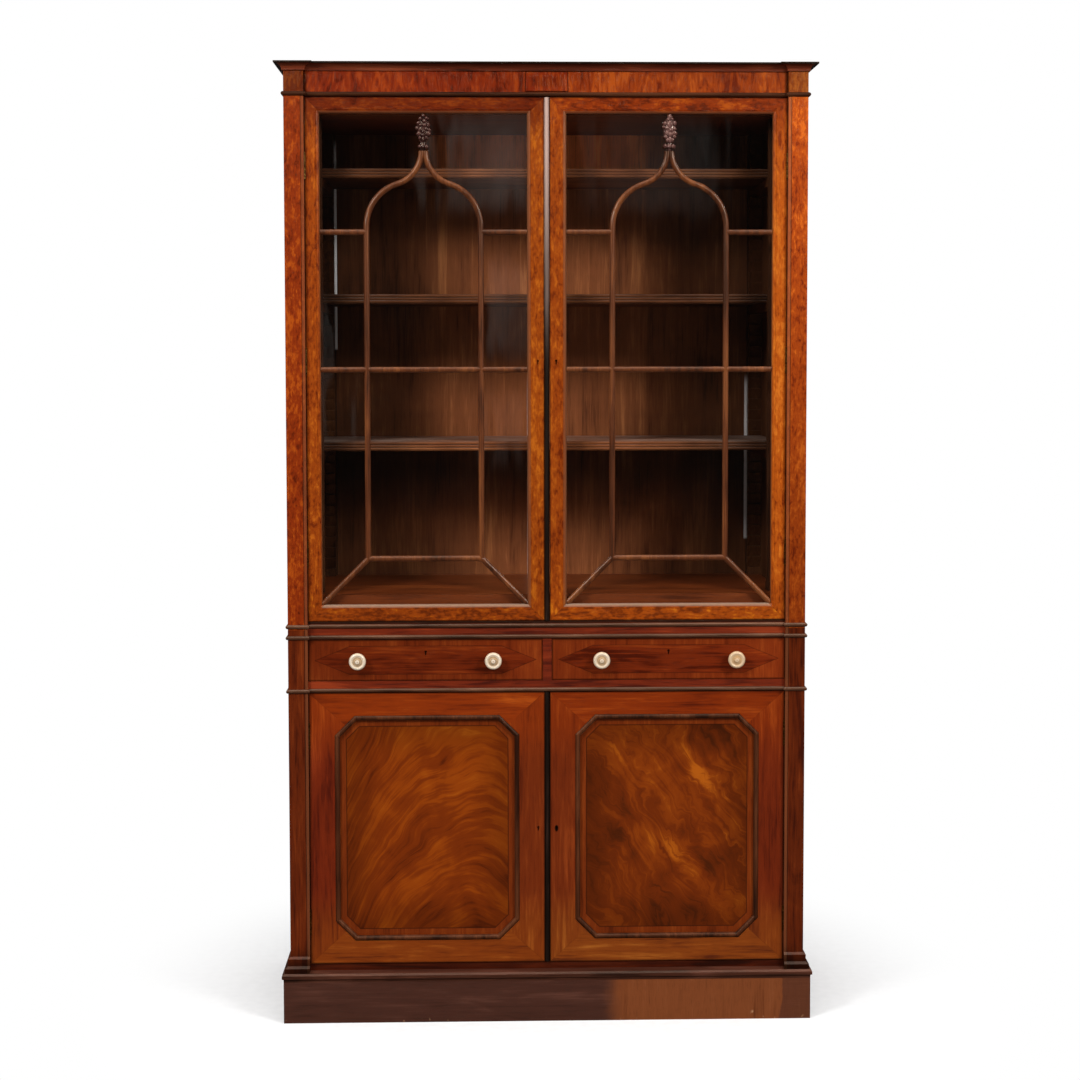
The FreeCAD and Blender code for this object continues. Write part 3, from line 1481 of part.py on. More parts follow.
def knob(name):
    """A turned knob with its peg: the profile runs from the peg's end to the middle of the face."""
    peg = dim.knob_peg_radius
    outline = [(as_length(0), dim.knob_peg_length), (peg, dim.knob_peg_length), (peg, as_length(0))]
    for out, wide in KNOB_FOOT_SHARES:
        outline.append((dim.knob_radius * wide, -dim.knob_reach * out))
    widest = -dim.knob_reach * KNOB_WIDEST_SHARE
    rim_radius = dim.knob_reach * (KNOB_RIM_END_SHARE - KNOB_WIDEST_SHARE)
    rim_centre = dim.knob_radius - rim_radius
    outline += [
        (rim_centre, widest + rim_radius, rim_centre, widest, "cw"),
        (dim.knob_radius, widest, rim_centre, widest, "cw"),
        (rim_centre, widest - rim_radius),
    ]
    for out, wide in KNOB_FACE_SHARES:
        outline.append((dim.knob_radius * wide, -dim.knob_reach * out))
    outline.append((as_length(0), -dim.knob_reach))
    return turned(name, "XY_Plane", outline)


# The whole bookcase

def make_bookcase():
    make_plinth()
    make_base_case()
    make_drawer_space()
    make_cupboard()
    make_mouldings()
    make_upper_case()
    make_shelving()
    make_case_hinges()
    for side in (-1, 1):
        glazed_door(side)
        panelled_door(side)
        drawer(side)


def check_and_write():
    """Stops on any failed feature, then writes one file for each sub-part."""
    document.recompute()
    failed = [f"{thing.Name} {thing.State}" for thing in document.Objects
              if "Invalid" in thing.State or "Error" in thing.State]
    if failed:
        raise SystemExit("failed features: " + ", ".join(failed))
    for name, subpart in subparts.items():
        if subpart.Shape.isNull() or not subpart.Shape.isValid():
            raise SystemExit(f"the shape of {name} is not sound")
    os.makedirs("parts", exist_ok=True)
    for name, subpart in subparts.items():
        subpart.Shape.exportStep(f"parts/{name}.step")
        print(f"{name}: {len(subpart.Shape.Solids)} solids, {subpart.Shape.Volume:.0f} mm3")
    print(f"{len(subparts)} sub-parts")


make_bookcase()
check_and_write()
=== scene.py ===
import math

import bmesh
import bpy
from mathutils import Matrix, Vector

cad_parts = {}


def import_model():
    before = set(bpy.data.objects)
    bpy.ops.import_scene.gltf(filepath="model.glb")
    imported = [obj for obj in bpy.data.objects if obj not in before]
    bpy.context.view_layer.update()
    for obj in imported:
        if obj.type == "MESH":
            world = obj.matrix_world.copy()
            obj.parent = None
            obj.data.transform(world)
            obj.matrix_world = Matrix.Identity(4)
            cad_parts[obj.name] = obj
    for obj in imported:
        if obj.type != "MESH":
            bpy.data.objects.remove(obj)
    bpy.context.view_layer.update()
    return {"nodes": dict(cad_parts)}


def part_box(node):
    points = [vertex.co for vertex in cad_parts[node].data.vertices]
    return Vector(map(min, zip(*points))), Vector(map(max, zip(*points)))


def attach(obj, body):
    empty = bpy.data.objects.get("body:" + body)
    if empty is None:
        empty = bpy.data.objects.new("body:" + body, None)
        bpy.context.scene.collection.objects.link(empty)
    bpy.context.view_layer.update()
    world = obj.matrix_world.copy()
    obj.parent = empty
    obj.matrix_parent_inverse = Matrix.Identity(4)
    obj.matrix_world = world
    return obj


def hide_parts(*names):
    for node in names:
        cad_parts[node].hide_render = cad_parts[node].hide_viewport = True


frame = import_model()
nodes = frame["nodes"]


# Places that the looks need, in metres, read from the frame

def middle(box, axis):
    return (box[0][axis] + box[1][axis]) / 2


def half(box, axis):
    return (box[1][axis] - box[0][axis]) / 2


FACE_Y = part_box("frieze_rail")[0][1]
FRIEZE_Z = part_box("frieze_rail")[0][2]
PILASTER_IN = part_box("frieze_rail")[1][0]
CROWN_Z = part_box("cornice")[1][2]
BEAD_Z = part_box("waist_beads")[1][2]
PLINTH_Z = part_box("plinth_moulding")[1][2]
INNER_BACK_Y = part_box("upper_back_boards")[0][1]
LOWEST_SHELF_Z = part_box("bookshelves")[0][2]


# Node trees

EVENLY = (1, 1, 1)
WHITE = (1, 1, 1, 1)
EDGE = 0.0004                   # half the width over which one veneer gives way to the next at a joint
STEP = 0.01                     # the same where the change falls between two members and doesn't show


def srgb(red, green, blue):
    """A colour as seen on a screen, 0 to 255, in the linear values that shaders take."""
    linear = []
    for value in (red, green, blue):
        value /= 255
        linear.append(value / 12.92 if value <= 0.04045 else ((value + 0.055) / 1.055) ** 2.4)
    return (*linear, 1.0)


class Tree:
    """A node tree, and the sums that surfaces and surroundings are built from."""

    def __init__(self, tree):
        self.tree = tree

    def add(self, kind, **settings):
        made = self.tree.nodes.new(kind)
        for key, value in settings.items():
            setattr(made, key, value)
        return made

    def feed(self, socket, value):
        if hasattr(value, "is_output"):
            self.tree.links.new(value, socket)
        else:
            socket.default_value = value

    def parts(self, vector):
        made = self.add("ShaderNodeSeparateXYZ")
        self.feed(made.inputs[0], vector)
        return tuple(made.outputs)

    def maths(self, operation, *values):
        made = self.add("ShaderNodeMath", operation=operation)
        for socket, value in zip(made.inputs, values):
            self.feed(socket, value)
        return made.outputs[0]

    def product(self, first, *others):
        for other in others:
            first = self.maths("MULTIPLY", first, other)
        return first

    def total(self, start, *layers):
        """Adds up layers, each (value, share of it)."""
        for value, share in layers:
            start = self.maths("MULTIPLY_ADD", value, share, start)
        return start

    def away(self, place, centre=0.0):
        """How far a place lies from another one on the same axis."""
        return self.maths("ABSOLUTE", self.maths("SUBTRACT", place, centre))

    def fit(self, value, low, high, to_low=0.0, to_high=1.0, smooth=True):
        """Takes low..high to to_low..to_high and holds it there beyond both ends."""
        made = self.add("ShaderNodeMapRange", interpolation_type="SMOOTHSTEP" if smooth else "LINEAR")
        for socket, number in zip(made.inputs, (value, low, high, to_low, to_high)):
            self.feed(socket, number)
        return made.outputs[0]

    def step(self, value, where, before=0.0, after=1.0):
        return self.fit(value, where - STEP, where + STEP, before, after)

    def rays(self):
        """Whether something is seen, also through glass, and whether it is mirrored."""
        rays = self.add("ShaderNodeLightPath").outputs
        seen = self.maths("MAXIMUM", rays["Is Camera Ray"], rays["Is Transmission Ray"])
        return seen, rays["Is Glossy Ray"]

    def mixed(self, factor, first, second):
        made = self.add("ShaderNodeMixShader")
        for socket, value in zip(made.inputs, (factor, first.outputs[0], second.outputs[0])):
            self.feed(socket, value)
        return made


# Finishes: roughness, coat and specular level
POLISHED = (0.3, 0.08, 0.22)
WELL_POLISHED = (0.28, 0.1, 0.22)
OLD_VARNISH = (1.0, 0.78, 0.55, 1.0)
# How deep the grain is, in metres
GRAIN = 0.0001
FINE_GRAIN = 0.00008
OPEN_GRAIN = 0.00015
WORN_GRAIN = 0.00018
METAL_RELIEF = 0.00005


class Surface(Tree):
    """One material. Its places are metres of the bookcase with everything shut."""

    def __init__(self, name, roughness, coat=0.0, specular=0.3):
        self.material = bpy.data.materials.new(name)
        self.material.use_nodes = True
        super().__init__(self.material.node_tree)
        self.shader = self.tree.nodes["Principled BSDF"]
        self.set("Roughness", roughness)
        self.set("Specular IOR Level", specular)
        self.set("Coat Weight", coat)
        self.set("Coat Roughness", 0.15)
        self.set("Specular Tint", OLD_VARNISH)
        self.place = self.add("ShaderNodeTexCoord").outputs["Object"]
        self.x, self.y, self.z = self.parts(self.place)

    def set(self, socket, value):
        self.feed(self.shader.inputs[socket], value)

    def noise(self, stretch, scale, detail=3.0, roughness=0.5, distortion=0.0, shift=0.0, place=None):
        """Noise in space: a small share in stretch draws it out along that axis."""
        mapping = self.add("ShaderNodeMapping")
        self.feed(mapping.inputs["Vector"], self.place if place is None else place)
        mapping.inputs["Location"].default_value = (shift, shift * 1.7, -shift * 0.6)
        mapping.inputs["Scale"].default_value = stretch
        made = self.add("ShaderNodeTexNoise")
        self.feed(made.inputs["Vector"], mapping.outputs[0])
        settings = {"Scale": scale, "Detail": detail, "Roughness": roughness, "Distortion": distortion}
        for key, value in settings.items():
            made.inputs[key].default_value = value
        return made.outputs[0]

    def waver(self, reach, *noise):
        """Noise that strays to both sides of nought."""
        return self.product(self.maths("SUBTRACT", self.noise(*noise), 0.5), reach)

    def ramp(self, factor, *stops):
        made = self.add("ShaderNodeValToRGB")
        made.color_ramp.interpolation = "EASE"
        while len(made.color_ramp.elements) < len(stops):
            made.color_ramp.elements.new(0.5)
        for element, (place, colour) in zip(made.color_ramp.elements, stops):
            element.position = place
            element.color = colour
        self.feed(made.inputs[0], factor)
        return made.outputs[0]

    def blend(self, factor, low, high, mode="MIX"):
        made = self.add("ShaderNodeMix", data_type="RGBA", blend_type=mode)
        self.feed(made.inputs[0], factor)
        self.feed(made.inputs[6], low)
        self.feed(made.inputs[7], high)
        return made.outputs[2]

    def times(self, colour, other, factor=1.0):
        return self.blend(factor, colour, other, "MULTIPLY")

    def shaded(self, colour, share):
        """A colour times a plain share of its brightness."""
        grey = self.add("ShaderNodeCombineColor")
        for socket in grey.inputs[:3]:
            self.feed(socket, share)
        return self.times(colour, grey.outputs[0])

    def relief(self, height, depth):
        bump = self.add("ShaderNodeBump")
        bump.inputs["Distance"].default_value = depth
        self.feed(bump.inputs["Height"], height)
        self.set("Normal", bump.outputs[0])

    def finish(self, colour, height, depth=GRAIN):
        self.set("Base Color", colour)
        self.relief(height, depth)
        return self.material


def clothe(material, *names):
    for name in names:
        data = nodes[name].data
        data.materials.clear()
        data.materials.append(material)


# Mahogany: layers of figure, each (stretch along the grain, scale, detail, distortion, share of the tone)

MOTTLED = (
    (0.05, 420, 3, 0.4, 0.12), (0.5, 170, 3, 0.5, 0.22), (0.42, 75, 4, 0.8, 0.30),
    (0.5, 24, 3, 0.8, 0.16), (0.4, 5, 2, 0.6, 0.20),
)
STREAKED = (
    (0.03, 420, 3, 0.4, 0.16), (0.05, 90, 4, 1.0, 0.24), (0.16, 26, 4, 1.4, 0.30), (0.35, 6, 3, 1.0, 0.30),
)
QUIET = ((0.03, 380, 3, 0.3, 0.22), (0.05, 60, 4, 0.8, 0.33), (0.3, 9, 3, 0.8, 0.45))
RIPPLED = (
    (0.05, 420, 3, 0.4, 0.10), (0.3, 60, 4, 1.2, 0.40), (0.5, 22, 3, 1.0, 0.25), (0.4, 5, 2, 0.6, 0.25),
)
GRAIN_AXIS = {"x": 0, "y": 1, "z": 2}
SPREAD = 0.09                   # how far from the middle of the noise the dark and the light tone lie

# Colours of each wood: dark, plain and light
GOLDEN = (srgb(112, 36, 5), srgb(160, 68, 11), srgb(198, 100, 22))
FADED = (srgb(128, 46, 6), srgb(184, 88, 15), srgb(214, 120, 32))
AMBER = (srgb(92, 27, 4), srgb(136, 47, 7), srgb(174, 78, 14))
RUSSET = (srgb(74, 20, 4), srgb(122, 44, 5), srgb(156, 70, 14))
RED = (srgb(62, 16, 5), srgb(98, 34, 8), srgb(126, 52, 16))
INSIDE = (srgb(64, 29, 12), srgb(126, 70, 38), srgb(174, 108, 62))
DUSKY = (srgb(46, 23, 13), srgb(78, 46, 30), srgb(106, 68, 48))
SHADED = (srgb(42, 17, 8), srgb(72, 35, 18), srgb(96, 51, 28))
PLUM = (srgb(50, 25, 18), srgb(82, 46, 34), srgb(108, 66, 52))
DEEP = (srgb(44, 14, 8), srgb(84, 32, 17), srgb(116, 56, 34))
BAR = (srgb(56, 24, 10), srgb(90, 44, 21), srgb(122, 67, 33))
CARVED = (srgb(48, 22, 21), srgb(82, 48, 44), srgb(122, 86, 80))
BLACKENED = (srgb(10, 6, 5), srgb(22, 13, 10), srgb(46, 30, 24))
DRAWER_FIELD = (srgb(68, 16, 3), srgb(104, 33, 7), srgb(134, 53, 14))
DRAWER_BAND = (srgb(82, 24, 5), srgb(109, 38, 9), srgb(130, 54, 16))
PANEL_BAND = (srgb(88, 30, 6), srgb(116, 44, 9), srgb(138, 60, 16))
PLINTH = (srgb(46, 23, 18), srgb(74, 40, 31), srgb(98, 58, 46))
PLINTH_PATCH = (srgb(92, 42, 18), srgb(130, 68, 34), srgb(156, 92, 54))

# Dirt, dark lines and painted shade
KEYHOLE_DARK = srgb(12, 6, 4)
GROOVE_SHADE_AND_DIRT = srgb(34, 12, 6)
DULL_EDGE = srgb(58, 36, 24)
TABLET_LINE = srgb(44, 14, 6)
LIP_BLACK = srgb(16, 6, 4)
DRAWER_DARK = srgb(40, 10, 4)
PANEL_DARK = srgb(40, 14, 5)


def tinted(field, red, green=None, blue=None):
    """The three colours of a wood, each channel times a share."""
    shares = (red, red if green is None else green, red if blue is None else blue, 1.0)
    return tuple(tuple(value * share for value, share in zip(colour, shares)) for colour in field)


def along(grain, draw):
    stretch = [1.0, 1.0, 1.0]
    stretch[GRAIN_AXIS[grain]] = draw
    return stretch


def timber(s, grain, field, figure, shift=0.0, spread=SPREAD):
    """Colour and height of one kind of wood with its grain along an axis."""
    dark, plain, light = field
    layers = []
    for number, (draw, scale, detail, distortion, share) in enumerate(figure):
        layer = s.noise(along(grain, draw), scale, detail, 0.55, distortion, shift + 3 * number)
        layers.append((layer, share))
    fibres = layers[0][0]
    colour = s.ramp(s.total(0.0, *layers), (0.5 - spread, dark), (0.5, plain), (0.5 + spread, light))
    pore = s.fit(s.noise(along(grain, 0.02), 1500, 2, 0.5, 0, shift + 1), 0.58, 0.68)
    colour = s.times(colour, dark, s.product(pore, 0.4))
    return colour, s.maths("SUBTRACT", s.product(fibres, 0.4), pore)


def from_edges(s, box):
    """How far a point of a front lies from the nearer side of its box and from the nearer end."""
    distances = []
    for place, axis in ((s.x, 0), (s.z, 2)):
        distances.append(s.maths("SUBTRACT", half(box, axis), s.away(place, middle(box, axis))))
    return distances


def edge_shade_and_dirt(s, colour, inside, reach, share):
    """Painted shade along an edge, with polish and dirt gathered there, so the colour deepens there."""
    return s.shaded(colour, s.fit(inside, 0.0, reach, share, 1.0))


def plain_wood(name, grain, field, figure, shift, finish=POLISHED, spread=SPREAD):
    s = Surface(name, *finish)
    return s.finish(*timber(s, grain, field, figure, shift, spread))


# Doors: frames with mitred corners

# Widths of rail, stile and sight moulding, and how far up the stiles the rails' colours reach
GLAZED = {"rail": 0.038, "stile": 0.038, "sight": 0.005, "blending": 0.09, "figure": MOTTLED, "spread": 0.09}
PANELLED = {"rail": 0.056, "stile": 0.062, "sight": 0, "blending": 0.14, "figure": STREAKED, "spread": 0.14}
# Each frame: its wood's name, its piece, its kind, then the woods of head, foot, left and right members
# The right glazed door's rails and right stile are tinted lighter than the left door's: partly veneers that
# differ, partly painted light from the right.
DOOR_FRAMES = (
    ("left_glazed_door_wood", "upper_left_door_frame", GLAZED,
     tinted(AMBER, 0.5, 0.42), tinted(AMBER, 1.08, 1.5), tinted(GOLDEN, 0.82), tinted(GOLDEN, 0.8, 0.85)),
    ("right_glazed_door_wood", "upper_right_door_frame", GLAZED,
     tinted(AMBER, 0.92), tinted(AMBER, 1.36, 2.0), tinted(GOLDEN, 0.78), tinted(FADED, 0.88, 0.8)),
    ("left_panelled_door_wood", "lower_left_door_frame", PANELLED,
     tinted(RUSSET, 1.3, 1.2), tinted(RUSSET, 1.22, 1.7, 2.6),
     tinted(RED, 1.4, 1.1), tinted(RED, 1.35, 1.4)),
    ("right_panelled_door_wood", "lower_right_door_frame", PANELLED,
     tinted(RUSSET, 1.15, 1.0), tinted(RUSSET, 1.25, 1.95, 3.4),
     tinted(RED, 1.3, 1.3), tinted(RED, 1.3, 1.1)),
)
# A paler colour for the sight mouldings and the pilaster beads, partly a painted highlight on their rounds
SIGHT_HIGHLIGHT = srgb(122, 70, 42)
DUSTY_SILL = srgb(138, 108, 88)
MITRE = (0.0003, 0.0009)        # half the width of a mitre's dark line, and where it has faded out
MITRE_SHARE = 0.35
# A dark patch round the working keyhole of the panelled doors: its place and its reach, across and up
DARK_PATCH_AT = (0.0225, 0.4755)
DARK_PATCH_REACH = (0.0045, 0.0081)


def sight_moulding(s, colour, from_opening, sight, at_sill):
    """A duller moulding at the opening, with a painted highlight that makes its inner edge paler, and dusty
    on the sill.
    """
    moulding = s.fit(from_opening, -sight - 0.0006, -sight, 0.0, 0.65)
    # Painted highlight: the inner edge grows paler still
    moulding = s.product(moulding, s.fit(from_opening, -0.0016, -0.0008, 1.0, 1.6))
    return s.blend(moulding, colour, s.blend(at_sill, SIGHT_HIGHLIGHT, DUSTY_SILL))


def darkened_keyhole(s, colour):
    off = 0.0
    for place, centre, reach in zip((s.x, s.z), DARK_PATCH_AT, DARK_PATCH_REACH):
        share = s.maths("DIVIDE", s.maths("SUBTRACT", place, centre), reach)
        off = s.total(off, (share, share))
    return s.blend(s.fit(off, 0.6, 1.5, 0.92, 0.0), colour, KEYHOLE_DARK)


def framed_wood(name, box, woods, rail, stile, sight, blending, figure, spread):
    """The grain turns with the members, and towards the corners the stiles take on the rails' colours."""
    s = Surface(name, *POLISHED)
    head, foot, left, right = woods

    def member(grain, field, shift=0.0):
        return timber(s, grain, field, figure, shift, spread)

    above, below = s.step(s.z, middle(box, 2)), s.step(s.z, middle(box, 2), 1.0, 0.0)
    stiles, stile_height = member("z", left)
    stiles = s.blend(s.step(s.x, middle(box, 0)), stiles, member("z", right)[0])
    rails, rail_height = member("x", head, 21)
    rails = s.blend(above, member("x", foot, 25)[0], rails)
    from_side, from_end = from_edges(s, box)
    nearest = s.maths("MINIMUM", from_side, from_end)
    near_rail = s.fit(from_end, rail, rail + blending, 0.75, 0.0)
    stiles = s.blend(near_rail, stiles, s.blend(below, member("z", head)[0], member("z", foot)[0]))
    lean = s.maths("SUBTRACT", s.product(from_side, rail / stile), from_end)
    on_rail = s.fit(lean, -EDGE, EDGE)
    # Painted shade, with dirt, along the frame's outer edges
    colour = edge_shade_and_dirt(s, s.blend(on_rail, stiles, rails), nearest, 0.004, 0.4)
    on_frame = s.fit(nearest, stile - 0.002, stile, 1.0, 0.0)
    mitre = s.product(s.fit(s.away(lean), *MITRE, 1.0, 0.0), on_frame)
    colour = s.times(colour, left[0], s.product(mitre, MITRE_SHARE))
    if sight:
        from_stile, from_rail = s.maths("SUBTRACT", from_side, stile), s.maths("SUBTRACT", from_end, rail)
        from_opening = s.maths("MINIMUM", from_stile, from_rail)
        colour = sight_moulding(s, colour, from_opening, sight, s.product(below, on_rail))
    return s.finish(darkened_keyhole(s, colour), s.blend(on_rail, stile_height, rail_height))


for name, piece, kind, *woods in DOOR_FRAMES:
    clothe(framed_wood(name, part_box(piece), woods, **kind), piece)


# Case

HEAD_JOINT = 0.002              # where a pilaster meets its block at the frieze
BEAD_WIDTH = 0.0075             # the bead of a pilaster beside the door
GROOVE = (0.0005, 0.0014)       # half the width of the groove of painted shade and dirt outside that bead, and where it has faded out
# Where the painted shade at a pilaster's foot is deepest, and where it has faded out
FOOT_Z = (PLINTH_Z, PLINTH_Z + 0.07)
UNCHANGED = (1.0, 1.0, 1.0, 1.0)


def pilaster_wood(name, figure, left_wood, right_wood, left_head, right_head, foot_shade, painted_light_right):
    """Left and right pilasters from different veneers, with the blocks at the frieze darker, painted shade
    at the foot and painted light growing up the right pilaster.
    """
    s = Surface(name, *POLISHED)
    left, left_height = timber(s, "z", left_wood, figure, 4)
    right, right_height = timber(s, "z", right_wood, figure, 14)
    in_head = s.fit(s.z, FRIEZE_Z, FRIEZE_Z + HEAD_JOINT)
    left = s.blend(in_head, left, s.times(left, left_head))
    right = s.blend(in_head, right, s.times(right, right_head))
    to_right = s.step(s.x, 0.0)
    colour = s.blend(to_right, left, right)
    from_door = s.maths("SUBTRACT", s.away(s.x), PILASTER_IN)
    under_head = s.fit(s.z, FRIEZE_Z, FRIEZE_Z + HEAD_JOINT, 1.0, 0.0)
    # A pale bead beside the door, partly a painted highlight, and outside it a groove of painted shade and
    # dirt
    bead = s.fit(from_door, BEAD_WIDTH - EDGE, BEAD_WIDTH, 0.55, 0.0)
    colour = s.blend(s.product(bead, under_head), colour, SIGHT_HIGHLIGHT)
    groove = s.fit(s.away(from_door, BEAD_WIDTH), *GROOVE, 0.75, 0.0)
    colour = s.blend(s.product(groove, under_head), colour, GROOVE_SHADE_AND_DIRT)
    # Painted shade towards the foot, and painted light growing up the right pilaster, as light falling from
    # the right
    colour = s.shaded(colour, s.fit(s.z, *FOOT_Z, foot_shade, 1.0))
    colour = s.shaded(colour, s.fit(s.product(s.z, to_right), 1.0, FRIEZE_Z, 1.0, painted_light_right))
    return s.finish(colour, s.blend(to_right, left_height, right_height))


def frieze_wood():
    """Upright rippled veneer, more golden to the right, partly a change of veneer and partly painted light
    from the right, and with painted shade beside the pilasters' blocks.
    """
    s = Surface("frieze_wood", *POLISHED)
    left, height = timber(s, "z", tinted(AMBER, 0.72, 0.5), RIPPLED, 7)
    right, _ = timber(s, "z", tinted(GOLDEN, 0.74, 0.6), RIPPLED, 7)
    # More golden to the right: partly a change of veneer, partly painted light from the right
    colour = s.blend(s.fit(s.x, -0.3, 0.45), left, right)
    # Painted shade beside the pilasters' blocks
    from_block = s.maths("SUBTRACT", PILASTER_IN, s.away(s.x))
    return s.finish(edge_shade_and_dirt(s, colour, from_block, 0.012, 0.12), height)


def tablet_wood(box):
    """The frieze's veneer again, a little darker in the middle, with a dark line round it."""
    s = Surface("tablet_wood", *POLISHED)
    colour, height = timber(s, "z", tinted(AMBER, 0.72, 0.5), RIPPLED, 9)
    inside = s.maths("MINIMUM", *from_edges(s, box))
    colour = s.shaded(colour, s.fit(inside, 0.006, 0.018, 1.0, 0.72))
    return s.finish(s.blend(s.fit(inside, 0.001, 0.0024, 0.75, 0.0), colour, TABLET_LINE), height)


BOARD_FRONT_Y = FACE_Y + 0.004  # board fronts may stand this far behind the doors' faces
FLOOR_EDGE_SHADE = (PLINTH_Z + 0.03, PLINTH_Z + 0.035)    # where the painted shade on the lowest board's edge ends


def board_wood():
    """Carcass boards, their front edges veneered like the doors and darkened with painted shade beside the
    mouldings.
    """
    s = Surface("board_wood", 0.42, 0.05)
    front, front_height = timber(s, "x", tinted(RED, 1.35, 1.0), STREAKED)
    # Painted shade on the lowest board's recessed edge, and a near-black band of it at the waist bead
    over_plinth = s.fit(s.z, *FLOOR_EDGE_SHADE, 0.3, 1.0)
    over_bead = s.fit(s.away(s.z, BEAD_Z + 0.004), 0.003, 0.004, 0.12, 1.0)
    front = s.shaded(front, s.product(over_plinth, over_bead))
    front = s.blend(s.fit(s.z, BEAD_Z, BEAD_Z + 0.01, 0.0, 0.6), front, DULL_EDGE)
    back, back_height = timber(s, "x", tinted(INSIDE, 0.75, 0.5, 0.3), QUIET, 11, 0.2)
    at_back = s.fit(s.y, BOARD_FRONT_Y, BOARD_FRONT_Y + 0.001)
    return s.finish(s.blend(at_back, front, back), s.blend(at_back, front_height, back_height))


clothe(pilaster_wood("upper_pilaster_wood", MOTTLED, tinted(AMBER, 0.92, 0.85), tinted(GOLDEN, 0.68, 0.58),
                     (0.46, 0.5, 0.7, 1.0), (0.5, 0.62, 0.95, 1.0), foot_shade=1.0, painted_light_right=1.7),
       "upper_pilasters")
clothe(pilaster_wood("base_pilaster_wood", STREAKED, RED, tinted(RED, 0.9),
                     UNCHANGED, UNCHANGED, foot_shade=0.14, painted_light_right=1.0), "base_pilasters")
clothe(frieze_wood(), "frieze_rail")
clothe(tablet_wood(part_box("frieze_tablet")), "frieze_tablet")
clothe(plain_wood("side_wood", "z", RUSSET, STREAKED, 13, spread=0.14),
       "upper_side_panels", "base_side_panels")
clothe(board_wood(), "upper_boards", "base_boards", "drawer_frame")


# Inside: old unpolished wood, with painted shade towards both ends of the case

BOARD_JOINTS = (0.0375, 0.5503)
JOINT_DIRT = (0.0006, 0.0022)   # half the width of the dirt in a joint, and where it has faded out
# Beside the shrunk joints, pale strips of painted light where light would come through: place across, half
# width, height from and to, strength
LIGHT_THROUGH_JOINTS = (
    (-0.5498, 0.0036, 1.66, 2.22, 1.0),
    (-0.0365, 0.0028, 1.0, 1.6, 0.62),
    (0.5495, 0.0052, 1.15, 1.6, 0.62),
)
STRIP_EDGE = 0.0012             # over which a strip fades out sideways
PALE = srgb(250, 248, 246)
# Painted light high up in the middle of the back: heights where it begins, distances where it ends, and
# brightness
PAINTED_LIGHT_Z = (2.08, 2.12)
PAINTED_LIGHT_X = (0.2, 0.42)
PAINTED_LIGHT = (4.0, 3.6, 3.2, 1.0)
SHELF_SHADOW = (LOWEST_SHELF_Z - 0.19, LOWEST_SHELF_Z - 0.06)    # painted shadow under the lowest shelf: where it starts, and where it is deepest
DUST = srgb(176, 158, 146)
DUSTY_OUTSIDE = (0.62, 0.72, 0.86, 1.0)


def inside_wood(name, grain, shift, strength=1.0):
    s = Surface(name, 0.6, 0.0, 0.2)
    colour, height = timber(s, grain, tinted(INSIDE, strength), QUIET, shift, 0.18)
    # Painted shade towards both ends of the case, its edge made ragged by noise
    shade_wobble = s.noise(EVENLY, 3.5, 3, 0.5, 0.6, shift + 2)
    reach = s.total(s.away(s.x), (shade_wobble, 0.5))
    return s, s.shaded(colour, s.fit(reach, 0.35, 0.85, 1.0, 0.3)), height


def finish_inside(name, grain, shift, strength=1.0):
    s, colour, height = inside_wood(name, grain, shift, strength)
    return s.finish(colour, height, OPEN_GRAIN)


def back_board_wood():
    """The back boards. Inside, pale strips of painted light show where they have shrunk, painted light
    brightens them high up, and a painted shadow lies under the lowest shelf.
    """
    s, colour, height = inside_wood("back_board_wood", "z", 31, 1.15)
    within = s.fit(s.y, INNER_BACK_Y + 0.001, INNER_BACK_Y + 0.002, 1.0, 0.0)
    aside = s.away(s.x)
    # Painted light high up in the middle of the inner face
    painted_light = s.product(s.fit(s.z, *PAINTED_LIGHT_Z), s.fit(aside, *PAINTED_LIGHT_X, 1.0, 0.0), within)
    colour = s.blend(painted_light, colour, s.times(colour, PAINTED_LIGHT))
    for joint in BOARD_JOINTS:
        colour = s.shaded(colour, s.fit(s.away(aside, joint), *JOINT_DIRT, 0.3, 1.0))
    # Painted shadow under the lowest shelf, on the inner face only
    over_shelf = s.fit(s.z, LOWEST_SHELF_Z - 0.01, LOWEST_SHELF_Z)
    shelf_shadow = s.maths("MAXIMUM", s.fit(s.z, *SHELF_SHADOW, 1.0, 0.35), over_shelf)
    colour = s.blend(within, colour, s.shaded(colour, shelf_shadow))
    ragged = s.total(s.z, (s.noise((1, 1, 0.04), 30, 2), 0.006))
    # Painted light where light would come through the shrunk joints: pale strips with ragged ends
    for place, reach, low, high, strength in LIGHT_THROUGH_JOINTS:
        across = s.fit(s.away(s.x, place), reach, reach + STRIP_EDGE, strength, 0.0)
        begins, ends = s.fit(ragged, low, low + 0.008), s.fit(ragged, high - 0.04, high, 1.0, 0.0)
        colour = s.blend(s.product(across, begins, ends, within), colour, PALE)
    return s.finish(s.blend(within, s.times(colour, DUSTY_OUTSIDE), colour), height, OPEN_GRAIN)


def shelf_wood(box):
    """Three boards of different tone, the middle one darkest and the lowest one lightest, dusty on top."""
    s, colour, height = inside_wood("shelf_wood", "x", 37, 0.88)
    low, high = box[0][2], box[1][2]
    quarter = (high - low) / 4
    below_highest = s.fit(s.z, high - quarter, high - quarter + STEP, 0.7, 1.0)
    lowest = s.fit(s.z, low + quarter, low + quarter + STEP, 1.75, 1.0)
    colour = s.shaded(colour, s.product(below_highest, lowest))
    facing_up = s.parts(s.add("ShaderNodeNewGeometry").outputs["Normal"])[2]
    patchy = s.fit(s.noise(EVENLY, 7, 4, 0.6), 0.35, 0.65, 0.1, 0.36)
    colour = s.blend(s.product(s.fit(facing_up, 0.7, 0.9), patchy), colour, DUST)
    return s.finish(colour, height, OPEN_GRAIN)


